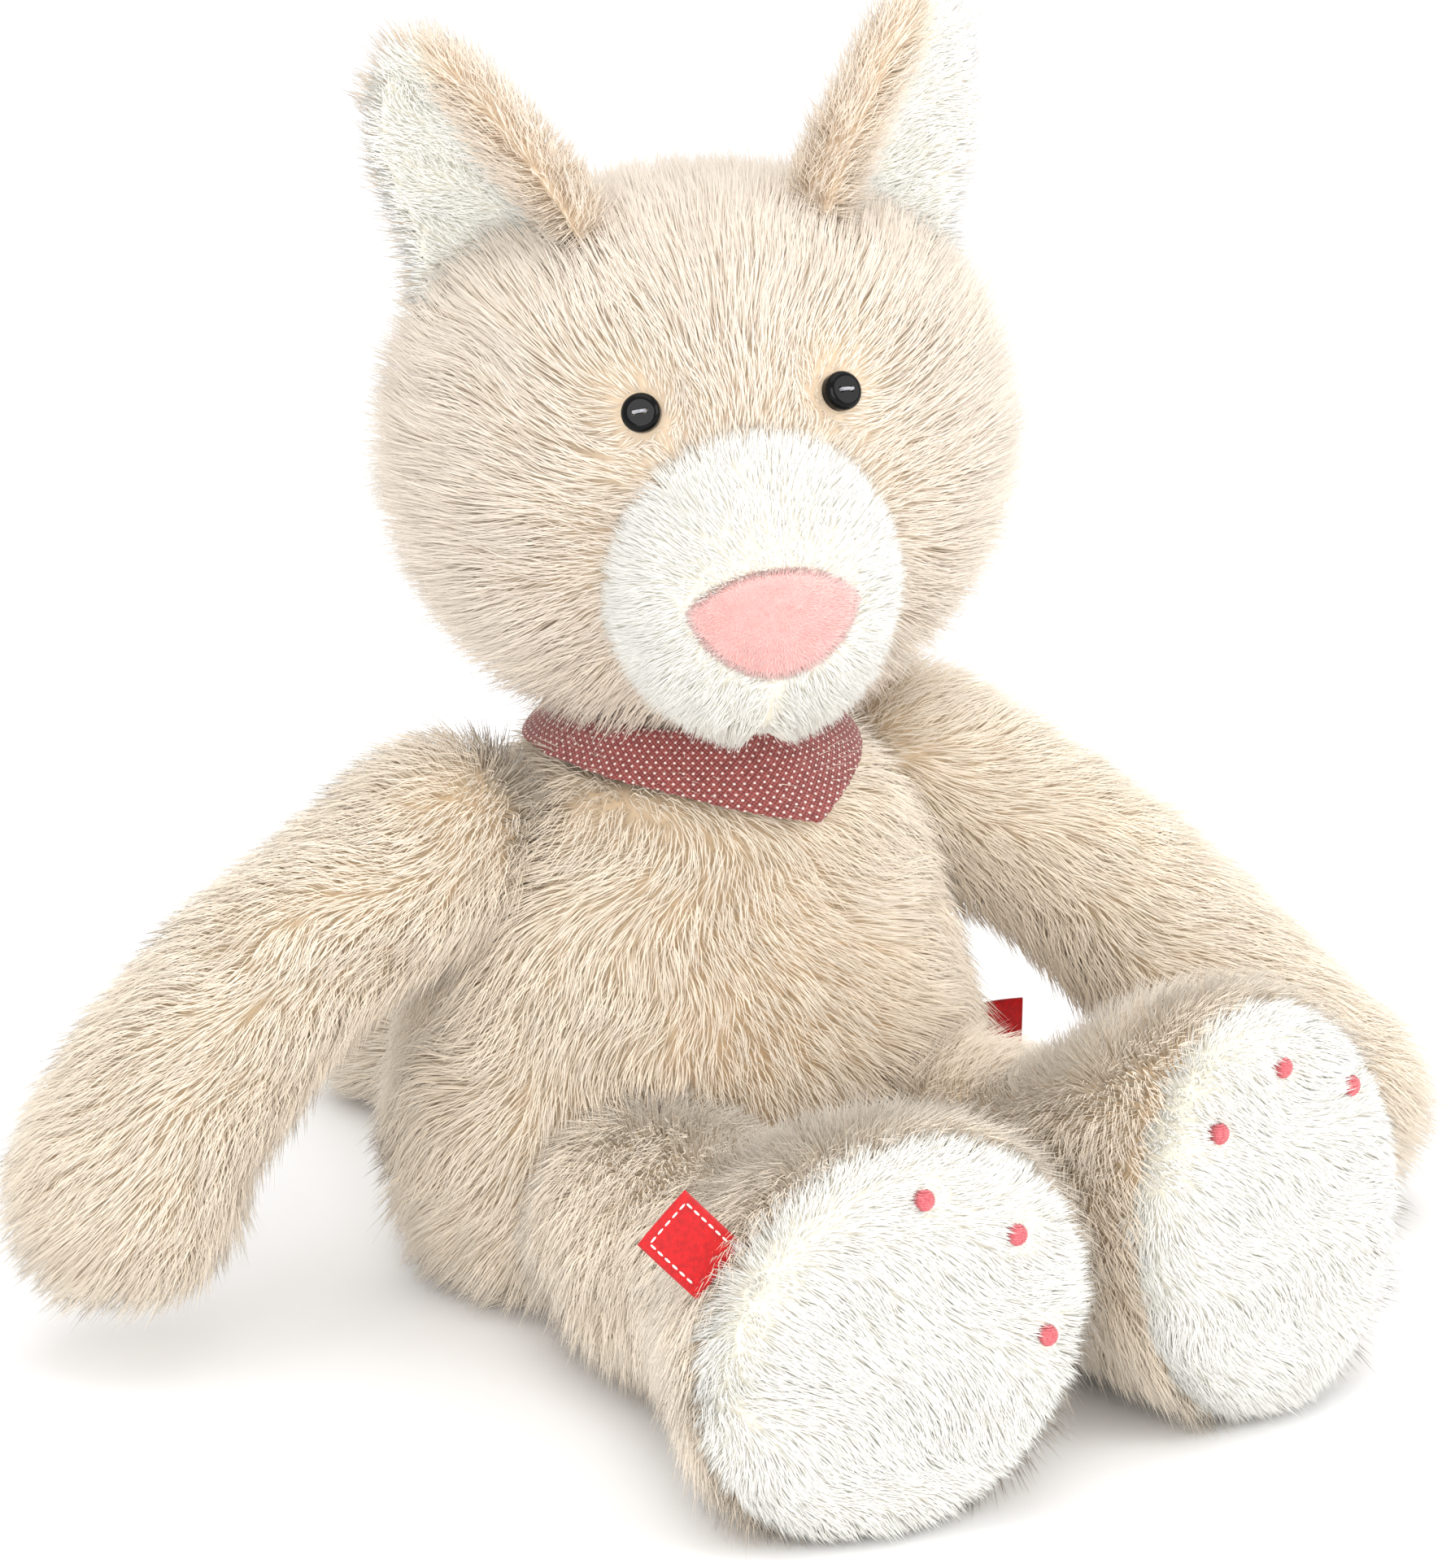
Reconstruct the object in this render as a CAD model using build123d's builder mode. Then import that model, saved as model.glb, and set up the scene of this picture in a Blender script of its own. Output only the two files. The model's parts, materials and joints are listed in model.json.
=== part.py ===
"""Seated plush dog with a dotted scarf, as the sewn panels, stuffings and trims it is made of.

Millimetres, +Z up.  The dog faces -Y and its left side is +X.  The origin is the middle of the seat,
on the ground.  A "skin" is the plush fabric with the dense foot of its pile; loose pile stands proud of it.
"""

from build123d import *
import math
import os

os.makedirs("parts", exist_ok=True)

# ---- driving dimensions ---------------------------------------------------------------------------

SKIN = 2.6                 # thickness of every plush panel
EASE = 0.3                 # room between a panel and the stuffing behind it
SOCKET_EASE = 1.0          # room round the ball-shaped root of a limb, so that it turns freely
CUT = 200.0                # larger than the whole toy, for cutting planes and prisms

TORSO_RINGS = [            # height, half width, half depth
    (0.0, 37.0, 31.0),
    (4.0, 44.0, 37.5),
    (13.0, 50.0, 42.5),
    (28.0, 53.5, 44.5),
    (45.0, 51.4, 42.0),
    (62.0, 46.0, 38.0),
    (77.0, 41.5, 33.5),
    (89.0, 34.5, 28.5),
    (97.0, 25.0, 23.0),
]
SEAT_HALF_WIDTH = 33.0
SEAT_HALF_DEPTH = 27.0
SIDE_SEAM_AHEAD = 9.0      # the side seams run this far in front of the middle

NECK_PIVOT = (0.0, 0.0, 101.0)
NECK_RADIUS = 20.0

HEAD_CENTRE = (0.0, -4.0, 155.0)
HEAD_TURN = -18.5          # degrees about the vertical, towards the dog's right
HEAD_ROLL = 3.5            # degrees, left ear higher
HEAD_RINGS = [             # height from the centre, half width, half depth
    (-42.5, 18.0, 17.0),
    (-36.0, 30.0, 29.0),
    (-25.0, 41.0, 38.5),
    (-10.0, 48.5, 44.0),
    (4.0, 50.0, 45.5),
    (18.0, 47.0, 43.5),
    (31.0, 39.5, 37.0),
    (40.0, 27.5, 26.0),
    (43.6, 15.0, 14.0),
]
HEAD_LOW = -44.5
HEAD_HIGH = 44.8
GUSSET_HALF_WIDTH = 13.0

MUZZLE_HALF_WIDTH = 23.2
MUZZLE_HALF_HEIGHT = 26.4
MUZZLE_DEPTH = 23.0        # dome height in front of the muzzle's widest ring
MUZZLE_RING_FORWARD = 42.0 # widest ring, forward of the head's centre
MUZZLE_DROP = 14.0         # below the head's centre
MUZZLE_ROOT = 26.0         # how far back the muzzle runs before it is trimmed to the head
NOSE_HALF_WIDTH = 14.5
NOSE_PROUD = 1.2

EYE_RADIUS = 3.5
EYE_THICK = 2.6
EYE_SPACING = 34.2
EYE_HEIGHT = 17.5          # above the head's centre
EYE_HOLE_RADIUS = 0.55
EYE_HOLE_OFFSET = 1.0
THREAD_RADIUS = 0.3
THREAD_SINK = 0.4          # the thread starts this far behind the button
EYE_STANDOFF = 1.6         # between the skin and the back of a button, room for the trimmed pile

EAR_ROOT = (29.5, 4.0, 43.5)   # from the head's centre, left ear
EAR_HEIGHT = 37.0
EAR_OUTLINE = [(19.5, 0.0), (16.0, 0.28), (12.5, 0.56), (7.5, 0.86)]   # half width, share of the height
EAR_LEAN = 27.0            # degrees out from upright
EAR_OPENING = 38.0         # degrees that the cup faces out from straight ahead
EAR_CUP_RADIUS = 25.0
EAR_FABRIC = 2.2

ARM_RADIUS = 15.0
HAND_RADIUS = 16.5
SHOULDER_X = 49.0
SHOULDER_HEIGHT = 86.0
SHOULDER_BACK = 4.0        # shoulders sit a little behind the seat's middle
ARM_TUBE = ((0.0, ARM_RADIUS), (0.3, 13.9), (0.65, 15.2), (1.0, HAND_RADIUS))   # share of the way, radius
RIGHT_ARM = {"heading": 183.0, "reach": [(28, -14), (51, -32), (66, -53)], "end_slope": -70.0}
LEFT_ARM = {"heading": -38.0, "reach": [(28, -16), (54, -38), (78, -62)], "end_slope": -42.0}
ARM_START_SLOPE = -30.0    # degrees below level, where the arm leaves the shoulder

LEG_RADIUS = 19.0
SOLE_LENGTH = 35.0         # half length, heel to toes
SOLE_WIDTH = 29.5          # half width
FOOT_RINGS = [             # distance behind the sole, half length, half width
    (66.0, 19.5, 19.5),
    (48.0, 22.5, 21.0),
    (32.0, 28.5, 25.0),
    (18.0, 33.5, 28.5),
    (8.0, SOLE_LENGTH, SOLE_WIDTH),
    (0.0, 30.0, 25.0),
]
SOLE_PANEL_DEPTH = 9.0     # how far the sole wraps back over the rim of the foot
RIGHT_LEG = {"hip": (-33.0, -46.0, 24.0), "sole": (-38.0, -139.0, 34.5), "facing": -8.0, "roll": 50.0}
LEFT_LEG = {"hip": (33.0, -42.0, 24.0), "sole": (47.0, -127.0, 38.5), "facing": 14.0, "roll": -1.0}
SOLE_TILT = 5.0            # degrees that the soles look up
TOE_DOT_RADIUS = 2.0
TOE_DOT_RAISE = 0.6
TOE_DOT_ANGLES = (-45.0, 0.0, 44.0)
TOE_DOT_DISTANCE = (26.5, 24.5)   # from the middle of the sole, towards the toes and across them

TAIL_ROOT = (0.0, 51.0, 19.0)
TAIL_END = (-13.0, 101.0, 12.0)
TAIL_RADIUS = 10.0
TAIL_TIP_RADIUS = 9.0

SCARF_CLOTH = 1.2
SCARF_TOP = (24.0, 108.0)      # radius, height of the upper edge
SCARF_SLOPE = 0.78             # radius gained per millimetre downwards
SCARF_BAND_LOW = 101.0
SCARF_POINT = (6.0, 91.5)      # sideways place and height of the front corner
SCARF_RIGHT_END = -33.0        # where the lower edge meets the band, sideways
SCARF_LEFT_END = 29.0
KNOT_RADIUS = 5.0
KNOT_TAIL = (6.0, 1.6, 19.0)   # width, thickness and length of each hanging end
KNOT_TAIL_SPREAD = 28.0        # degrees each way

SIDE_LABEL = (14.0, 0.9, 22.0)  # reach out of the seam, thickness, height
SIDE_LABEL_HEIGHT = 29.0
LABEL_GAP = 0.6                 # between a label and the skin it is sewn to
FLAG_LABEL = (15.0, 12.0, 0.9)  # reach out of the seam, width, thickness
FLAG_ANGLE = 113.0              # degrees round the right sole from its toes, to the outer side
FLAG_TWIST = 20.0               # degrees that the label leans towards the toes

POUCH = (33.0, 27.0, 10.0)     # half sizes of the pellet pouch
POUCH_HEIGHT = 15.0
POUCH_CLOTH = 0.8
PELLET_RADIUS = 2.9
PELLET_PITCH = 6.6
PELLET_LAYER_PITCH = 6.07

STITCH_RADIUS = 0.45
STITCH_LENGTH = 5.0
STITCH_PITCH = 4.5
STITCH_COUNT = 8
STITCH_LOWEST = 44.0           # height of the lowest closing stitch, up the back seam


# ---- helpers ----------------------------------------------------------------------------------------

def save(piece, label):
    """Label a finished piece and write its STEP."""
    piece.part.label = label
    export_step(piece.part, f"parts/{label}.step")


def ellipse_on(plane, half_length, half_width):
    """One ring of a stuffed shape."""
    with BuildSketch(plane) as ring:
        Ellipse(half_length, half_width)
    return ring.sketch


def loft_through(sections):
    """A closed solid through rings, which may start and end at a Vertex."""
    with BuildPart() as solid:
        loft(sections=sections)
    return solid.part


def ball(centre, radius):
    with BuildPart() as solid:
        with Locations(centre):
            Sphere(radius)
    return solid.part


def ellipsoid(centre, half_sizes):
    with BuildPart() as unit:
        Sphere(1)
        scale(by=tuple(half_sizes))
    return Pos(*centre) * unit.part


def half_of(plane, whole):
    """The half of a shell on the side that the plane's normal points to."""
    with BuildPart() as piece:
        add(whole)
        split(bisect_by=plane, keep=Keep.TOP)
    return piece


def shell_of(outer, inner, *cutters):
    with BuildPart() as shell:
        add(outer)
        add(inner, mode=Mode.SUBTRACT)
        for cutter in cutters:
            add(cutter, mode=Mode.SUBTRACT)
    return shell.part


def compass(degrees):
    """Level direction that points straight ahead at 0 and to the dog's left at 90."""
    angle = math.radians(degrees)
    return Vector(math.sin(angle), -math.cos(angle), 0)


class Limb:
    """A stuffed tube along a line that begins and ends with a ball-shaped cap."""

    def __init__(self, line, side, root_radius, end_radius):
        self.line = line
        self.side = side
        self.root_radius = root_radius
        self.end_radius = end_radius
        self.length = line.length

    def plane_at(self, distance):
        along = PositionMode.LENGTH
        return Plane(
            origin=self.line.position_at(distance, along),
            x_dir=self.side,
            z_dir=self.line.tangent_at(distance, along),
        )

    def cap(self, radius, inset, from_root):
        """Rings of a round cap, as distance along the line and radius."""
        rings = []
        for degrees in (30, 60):
            angle = math.radians(degrees)
            back = radius - (radius - inset) * math.cos(angle)
            place = back if from_root else self.length - back
            rings.append((place, (radius - inset) * math.sin(angle)))
        return rings if from_root else rings[::-1]

    def even_rings(self, radii, count):
        """Evenly spaced round rings between the two caps; radii is a list of (share, radius)."""
        middle = self.length - self.root_radius - self.end_radius
        rings = []
        for step in range(count + 1):
            share = step / count
            radius = radii[-1][1]
            for (low, near), (high, far) in zip(radii, radii[1:]):
                if low <= share < high:
                    radius = near + (far - near) * (share - low) / (high - low)
            rings.append((self.root_radius + share * middle, radius, radius))
        return rings

    def solid(self, middle, inset=0.0, round_end=True):
        """Loft the limb; middle is a list of (distance, half length, half width)."""
        shrink = (self.length - self.root_radius - inset) / (self.length - self.root_radius)
        sections = [Vertex(*(self.plane_at(inset).origin))]
        for place, radius in self.cap(self.root_radius, inset, True):
            sections.append(ellipse_on(self.plane_at(place), radius, radius))
        for distance, half_length, half_width in middle:
            place = distance if round_end else self.root_radius + (distance - self.root_radius) * shrink
            sections.append(ellipse_on(self.plane_at(place), half_length - inset, half_width - inset))
        if round_end:
            for place, radius in self.cap(self.end_radius, inset, False):
                sections.append(ellipse_on(self.plane_at(place), radius, radius))
            sections.append(Vertex(*(self.plane_at(self.length - inset).origin)))
        return loft_through(sections)


# ---- limb centre lines ----------------------------------------------------------------------------

def arm_limb(shoulder, heading, reach, end_slope):
    """An arm's line lies in one upright plane through the shoulder; reach is (out, up) from it."""
    outward = Vector(math.cos(math.radians(heading)), math.sin(math.radians(heading)), 0)
    up = Vector(0, 0, 1)
    root = Vector(*shoulder)

    def slope(degrees):
        return outward * math.cos(math.radians(degrees)) + up * math.sin(math.radians(degrees))

    points = [root] + [root + outward * out + up * rise for out, rise in reach]
    start, end = slope(ARM_START_SLOPE), slope(end_slope)
    with BuildLine() as line:
        Line(root - start * ARM_RADIUS, root)
        Spline(*points, tangents=(start, end))
        Line(points[-1], points[-1] + end * HAND_RADIUS)
    return Limb(line.wires()[0], outward.cross(up), ARM_RADIUS, HAND_RADIUS)


def arm_solid(limb, inset=0.0):
    return limb.solid(limb.even_rings(ARM_TUBE, 10), inset)


def leg_limb(hip, sole, facing, roll):
    """A leg's line runs from behind the hip to the middle of the sole."""
    root, end = Vector(*hip), Vector(*sole)
    ahead = compass(0)
    tilt = math.radians(SOLE_TILT)
    out = compass(facing) * math.cos(tilt) + Vector(0, 0, math.sin(tilt))
    across = out.cross(Vector(0, 0, 1)).normalized()
    upright = across.cross(out)
    toes = upright * math.cos(math.radians(roll)) - across * math.sin(math.radians(roll))
    with BuildLine() as line:
        Line(root - ahead * LEG_RADIUS, root)
        Spline(root, end, tangents=(ahead, out))
    return Limb(line.wires()[0], toes, LEG_RADIUS, LEG_RADIUS)


def leg_solid(limb, inset=0.0):
    """Leg and foot in one: a tube that widens into the foot and ends in the rounded rim of the sole."""
    rings = [(LEG_RADIUS, LEG_RADIUS, LEG_RADIUS)]
    for behind, half_length, half_width in FOOT_RINGS:
        rings.append((limb.length - behind, half_length, half_width))
    return limb.solid(rings, inset, round_end=False)


# ---- torso ------------------------------------------------------------------------------------------

def torso_solid(inset):
    sections = []
    top = TORSO_RINGS[-1][0]
    for height, half_width, half_depth in TORSO_RINGS:
        level = inset + height * (top - 2 * inset) / top
        sections.append(ellipse_on(Plane.XY.offset(level), half_width - inset, half_depth - inset))
    return loft_through(sections)


shoulders = {
    "left": (SHOULDER_X, SHOULDER_BACK, SHOULDER_HEIGHT),
    "right": (-SHOULDER_X, SHOULDER_BACK, SHOULDER_HEIGHT),
}
legs = {"left": LEFT_LEG, "right": RIGHT_LEG}
neck_socket = ball(NECK_PIVOT, NECK_RADIUS + SOCKET_EASE)
sockets = [neck_socket]
for side in ("left", "right"):
    sockets.append(ball(shoulders[side], ARM_RADIUS + SOCKET_EASE))
    sockets.append(ball(legs[side]["hip"], LEG_RADIUS + SOCKET_EASE))
sockets.append(ball(TAIL_ROOT, TAIL_RADIUS + SOCKET_EASE))

with BuildPart() as seat_panel:
    with BuildSketch(Plane.XY):
        Ellipse(SEAT_HALF_WIDTH, SEAT_HALF_DEPTH)
    extrude(amount=SKIN)
save(seat_panel, "seat_panel")

torso_shell = shell_of(torso_solid(0), torso_solid(SKIN), seat_panel.part, *sockets)
torso_front_panel = half_of(Plane.XZ.offset(SIDE_SEAM_AHEAD), torso_shell)
save(torso_front_panel, "torso_front_panel")
torso_back = half_of(Plane.ZX.offset(-SIDE_SEAM_AHEAD), torso_shell)
torso_back_left_panel = half_of(Plane.YZ, torso_back.part)
save(torso_back_left_panel, "torso_back_left_panel")
torso_back_right_panel = half_of(Plane.ZY, torso_back.part)
save(torso_back_right_panel, "torso_back_right_panel")

pouch_centre = (0, 0, POUCH_HEIGHT)
pouch_inner = ellipsoid(pouch_centre, [half - POUCH_CLOTH for half in POUCH])
with BuildPart() as pellet_pouch:
    add(ellipsoid(pouch_centre, POUCH))
    add(pouch_inner, mode=Mode.SUBTRACT)
save(pellet_pouch, "pellet_pouch")


def pellet_places():
    """Layered grid of pellets that fit wholly inside the pouch."""
    room = [half - POUCH_CLOTH - PELLET_RADIUS - 0.2 for half in POUCH]
    places = []
    for layer in (-1, 0, 1):
        for row in range(-5, 6):
            for column in range(-6, 7):
                place = (column * PELLET_PITCH, row * PELLET_PITCH, layer * PELLET_LAYER_PITCH)
                if sum((value / half) ** 2 for value, half in zip(place, room)) < 1:
                    places.append((place[0], place[1], place[2] + POUCH_HEIGHT))
    return places


with BuildPart() as pellets:
    with Locations(*pellet_places()):
        Sphere(PELLET_RADIUS)
save(pellets, "pellets")

with BuildPart() as torso_stuffing:
    add(torso_solid(SKIN + EASE))
    add(ellipsoid(pouch_centre, [half + EASE for half in POUCH]), mode=Mode.SUBTRACT)
    for socket in sockets:
        add(socket, mode=Mode.SUBTRACT)
save(torso_stuffing, "torso_stuffing")


def torso_half_depth(height):
    """Half depth of the torso between the two rings round a height."""
    for (low, _, near), (high, _, far) in zip(TORSO_RINGS, TORSO_RINGS[1:]):
        if low <= height < high:
            return near + (far - near) * (height - low) / (high - low)
    raise ValueError("height is off the torso")


with BuildPart() as closing_stitches:
    for count in range(STITCH_COUNT):
        height = STITCH_LOWEST + count * STITCH_PITCH
        back = torso_half_depth(height) + STITCH_RADIUS
        with Locations(Location((0, back, height), (0, 90, 0))):
            Cylinder(STITCH_RADIUS, STITCH_LENGTH)
    add(torso_solid(0), mode=Mode.SUBTRACT)
save(closing_stitches, "closing_stitches")

label_reach, label_thick, label_tall = SIDE_LABEL
torso_widest = max(width for _, width, _ in TORSO_RINGS)
torso_deepest = max(depth for _, _, depth in TORSO_RINGS)
seam_width = torso_widest * math.sqrt(1 - (SIDE_SEAM_AHEAD / torso_deepest) ** 2)
with BuildPart() as side_label:
    with Locations((seam_width + LABEL_GAP + label_reach / 2, -SIDE_SEAM_AHEAD, SIDE_LABEL_HEIGHT)):
        Box(label_reach, label_thick, label_tall)
    fillet(side_label.edges().filter_by(Axis.X), label_thick * 0.3)
save(side_label, "side_label")

# ---- neck -------------------------------------------------------------------------------------------

with BuildPart() as neck_stuffing:
    with Locations(NECK_PIVOT):
        Sphere(NECK_RADIUS)
save(neck_stuffing, "neck_stuffing")

# ---- head -------------------------------------------------------------------------------------------

head_ahead = compass(HEAD_TURN)
head_level = Vector(-head_ahead.Y, head_ahead.X, 0)
roll = math.radians(HEAD_ROLL)
HEAD = Plane(
    origin=HEAD_CENTRE,
    x_dir=head_level * math.cos(roll) + Vector(0, 0, math.sin(roll)),
    z_dir=Vector(0, 0, math.cos(roll)) - head_level * math.sin(roll),
)


def on_head(x, y, z):
    """A point given from the head's centre, in the head's own directions."""
    return HEAD.from_local_coords(Vector(x, y, z))


def head_direction(x, y, z):
    return on_head(x, y, z) - on_head(0, 0, 0)


def head_solid(inset):
    reach = (HEAD_HIGH - inset) / HEAD_HIGH
    sections = [Vertex(*on_head(0, 0, HEAD_LOW * reach))]
    for height, half_width, half_depth in HEAD_RINGS:
        sections.append(ellipse_on(HEAD.offset(height * reach), half_width - inset, half_depth - inset))
    sections.append(Vertex(*on_head(0, 0, HEAD_HIGH * reach)))
    return loft_through(sections)


def muzzle_solid(inset):
    """A round dome that looks ahead, with a straight root inside the head."""
    ring_centre = on_head(0, -MUZZLE_RING_FORWARD, -MUZZLE_DROP)
    face = Plane(origin=ring_centre, x_dir=head_direction(1, 0, 0), z_dir=head_direction(0, -1, 0))
    wide, tall, depth = MUZZLE_HALF_WIDTH - inset, MUZZLE_HALF_HEIGHT - inset, MUZZLE_DEPTH - inset
    sections = [ellipse_on(face.offset(-MUZZLE_ROOT), wide * 0.9, tall * 0.9)]
    for degrees in (0, 25, 50, 70):
        angle = math.radians(degrees)
        ring = face.offset(depth * math.sin(angle))
        sections.append(ellipse_on(ring, wide * math.cos(angle), tall * math.cos(angle)))
    sections.append(Vertex(*face.offset(depth).origin))
    return loft_through(sections)


def nose_prism(margin):
    """Rounded triangle, wide at the top, that runs ahead through the muzzle's face."""
    centre = on_head(0, -MUZZLE_RING_FORWARD, -MUZZLE_DROP - 1.0)
    face = Plane(origin=centre, x_dir=head_direction(1, 0, 0), z_dir=head_direction(0, -1, 0))
    half = NOSE_HALF_WIDTH + margin
    with BuildPart() as prism:
        with BuildSketch(face):
            with BuildLine():
                ThreePointArc((-half, 1.5), (0, 8.0 + margin), (half, 1.5))
                ThreePointArc((half, 1.5), (half * 0.55, -7.5 - margin), (0, -10.0 - margin))
                ThreePointArc((0, -10.0 - margin), (-half * 0.55, -7.5 - margin), (-half, 1.5))
            make_face()
        extrude(amount=MUZZLE_DEPTH + 10)
    return prism.part


head_outer = head_solid(0)
head_shell = shell_of(head_outer, head_solid(SKIN), neck_socket)
head_side = head_direction(1, 0, 0)
left_seam = Plane(origin=on_head(GUSSET_HALF_WIDTH, 0, 0), z_dir=head_side)
right_seam = Plane(origin=on_head(-GUSSET_HALF_WIDTH, 0, 0), z_dir=-head_side)
save(half_of(left_seam, head_shell), "head_left_panel")
save(half_of(right_seam, head_shell), "head_right_panel")
with BuildPart() as head_gusset:
    add(head_shell)
    split(bisect_by=left_seam, keep=Keep.BOTTOM)
    split(bisect_by=right_seam, keep=Keep.BOTTOM)
save(head_gusset, "head_gusset")

with BuildPart() as head_stuffing:
    add(head_solid(SKIN + EASE))
    add(neck_socket, mode=Mode.SUBTRACT)
save(head_stuffing, "head_stuffing")

muzzle_shell = shell_of(muzzle_solid(0), muzzle_solid(SKIN), head_outer, nose_prism(0.1))
save(half_of(Plane(origin=on_head(0, 0, 0), z_dir=head_side), muzzle_shell), "muzzle_left_panel")
save(half_of(Plane(origin=on_head(0, 0, 0), z_dir=-head_side), muzzle_shell), "muzzle_right_panel")

with BuildPart() as muzzle_stuffing:
    add(muzzle_solid(SKIN + EASE))
    add(head_outer, mode=Mode.SUBTRACT)
save(muzzle_stuffing, "muzzle_stuffing")

with BuildPart() as nose_panel:
    add(muzzle_solid(-NOSE_PROUD))
    add(muzzle_solid(SKIN), mode=Mode.SUBTRACT)
    add(nose_prism(0), mode=Mode.INTERSECT)
save(nose_panel, "nose_panel")


def head_depth_at(x, z):
    """How far the head's skin lies ahead of its centre, at a sideways place and height."""
    rings = [(HEAD_LOW, 0.0, 0.0)] + HEAD_RINGS + [(HEAD_HIGH, 0.0, 0.0)]
    for (low, wide_low, deep_low), (high, wide_high, deep_high) in zip(rings, rings[1:]):
        if low <= z < high:
            share = (z - low) / (high - low)
            wide = wide_low + (wide_high - wide_low) * share
            deep = deep_low + (deep_high - deep_low) * share
            return deep * math.sqrt(1 - (x / wide) ** 2)
    raise ValueError("height is off the head")


def eye_plane(side):
    """Back of a button, just off the skin and square to it; side is +1 for the left eye."""
    x, z = side * EYE_SPACING / 2, EYE_HEIGHT
    depth = head_depth_at(x, z)
    width, front, height = HEAD_RINGS[4][1], HEAD_RINGS[4][2], HEAD_HIGH
    normal = head_direction(x / width ** 2, -depth / front ** 2, z / height ** 2).normalized()
    origin = on_head(x, -depth, z) + normal * EYE_STANDOFF
    return Plane(origin=origin, x_dir=head_side, z_dir=normal)


for side_name, side in (("left", 1), ("right", -1)):
    eye = eye_plane(side)
    with BuildPart() as button:
        with BuildSketch(eye):
            Circle(EYE_RADIUS)
        extrude(amount=EYE_THICK)
        fillet(button.edges().sort_by(Axis(eye.origin, eye.z_dir))[-1], EYE_THICK * 0.5)
        with BuildSketch(eye):
            with Locations((-EYE_HOLE_OFFSET, 0), (EYE_HOLE_OFFSET, 0)):
                Circle(EYE_HOLE_RADIUS)
        extrude(amount=EYE_THICK + 1, mode=Mode.SUBTRACT)
    save(button, f"eye_{side_name}")

    with BuildPart() as thread:
        with BuildSketch(eye.offset(-THREAD_SINK)):
            with Locations((-EYE_HOLE_OFFSET, 0), (EYE_HOLE_OFFSET, 0)):
                Circle(THREAD_RADIUS)
        extrude(amount=EYE_THICK + THREAD_SINK + 2 * THREAD_RADIUS)
        bridge = Plane(
            origin=eye.from_local_coords(Vector(-EYE_HOLE_OFFSET, 0, EYE_THICK + 1.5 * THREAD_RADIUS)),
            x_dir=eye.z_dir,
            z_dir=eye.x_dir,
        )
        with BuildSketch(bridge):
            Circle(THREAD_RADIUS)
        extrude(amount=2 * EYE_HOLE_OFFSET)
    save(thread, f"eye_thread_{side_name}")

# ---- ears -------------------------------------------------------------------------------------------

def ear_frame(side):
    """Origin at the ear's root, x across it, y up it, z out of its open side."""
    lean = math.radians(EAR_LEAN)
    opening = math.radians(EAR_OPENING)
    up = Vector(side * math.sin(lean), 0, math.cos(lean))
    facing = Vector(side * math.sin(opening), -math.cos(opening), 0)
    facing = (facing - up * facing.dot(up)).normalized()
    across = up.cross(facing)
    x, y, z = EAR_ROOT
    return Plane(
        origin=on_head(side * x, y, z),
        x_dir=head_direction(*across),
        z_dir=head_direction(*facing),
    )


def ear_layer(frame, outer_radius, thickness):
    """One cupped layer: a rounded leaf cut out of a tube that runs up the ear."""
    base = Plane(origin=frame.origin, x_dir=frame.x_dir, z_dir=frame.y_dir)
    outer_edge = [(half_width, share * EAR_HEIGHT) for half_width, share in EAR_OUTLINE]
    inner_edge = [(-x, y) for x, y in reversed(outer_edge)]
    with BuildPart() as leaf:
        with BuildSketch(frame.offset(-CUT / 4)):
            with BuildLine():
                Spline(*outer_edge, (0, EAR_HEIGHT), *inner_edge)
                Line(inner_edge[-1], outer_edge[0])
            make_face()
        extrude(amount=CUT / 2)
    with BuildPart() as layer:
        with BuildSketch(base):
            with Locations((0, -EAR_CUP_RADIUS)):
                Circle(outer_radius)
                Circle(outer_radius - thickness, mode=Mode.SUBTRACT)
                Rectangle(CUT, CUT, align=(Align.CENTER, Align.MAX), mode=Mode.SUBTRACT)
        extrude(amount=EAR_HEIGHT + 5)
        add(leaf.part, mode=Mode.INTERSECT)
    return layer


for side_name, side in (("left", 1), ("right", -1)):
    frame = ear_frame(side)
    save(ear_layer(frame, EAR_CUP_RADIUS, EAR_FABRIC), f"ear_back_{side_name}")
    lining_radius = EAR_CUP_RADIUS - EAR_FABRIC - 0.1
    save(ear_layer(frame, lining_radius, EAR_FABRIC), f"ear_lining_{side_name}")

# ---- arms -------------------------------------------------------------------------------------------

for side_name, arm in (("left", LEFT_ARM), ("right", RIGHT_ARM)):
    limb = arm_limb(shoulders[side_name], arm["heading"], arm["reach"], arm["end_slope"])
    arm_shell = shell_of(arm_solid(limb), arm_solid(limb, SKIN))
    seam = Plane(origin=shoulders[side_name], z_dir=limb.side)
    front, back = (seam, -seam) if limb.side.Y < 0 else (-seam, seam)
    save(half_of(front, arm_shell), f"arm_front_{side_name}")
    save(half_of(back, arm_shell), f"arm_back_{side_name}")
    with BuildPart() as arm_stuffing:
        add(arm_solid(limb, SKIN + EASE))
    save(arm_stuffing, f"arm_stuffing_{side_name}")

# ---- legs -------------------------------------------------------------------------------------------

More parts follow.
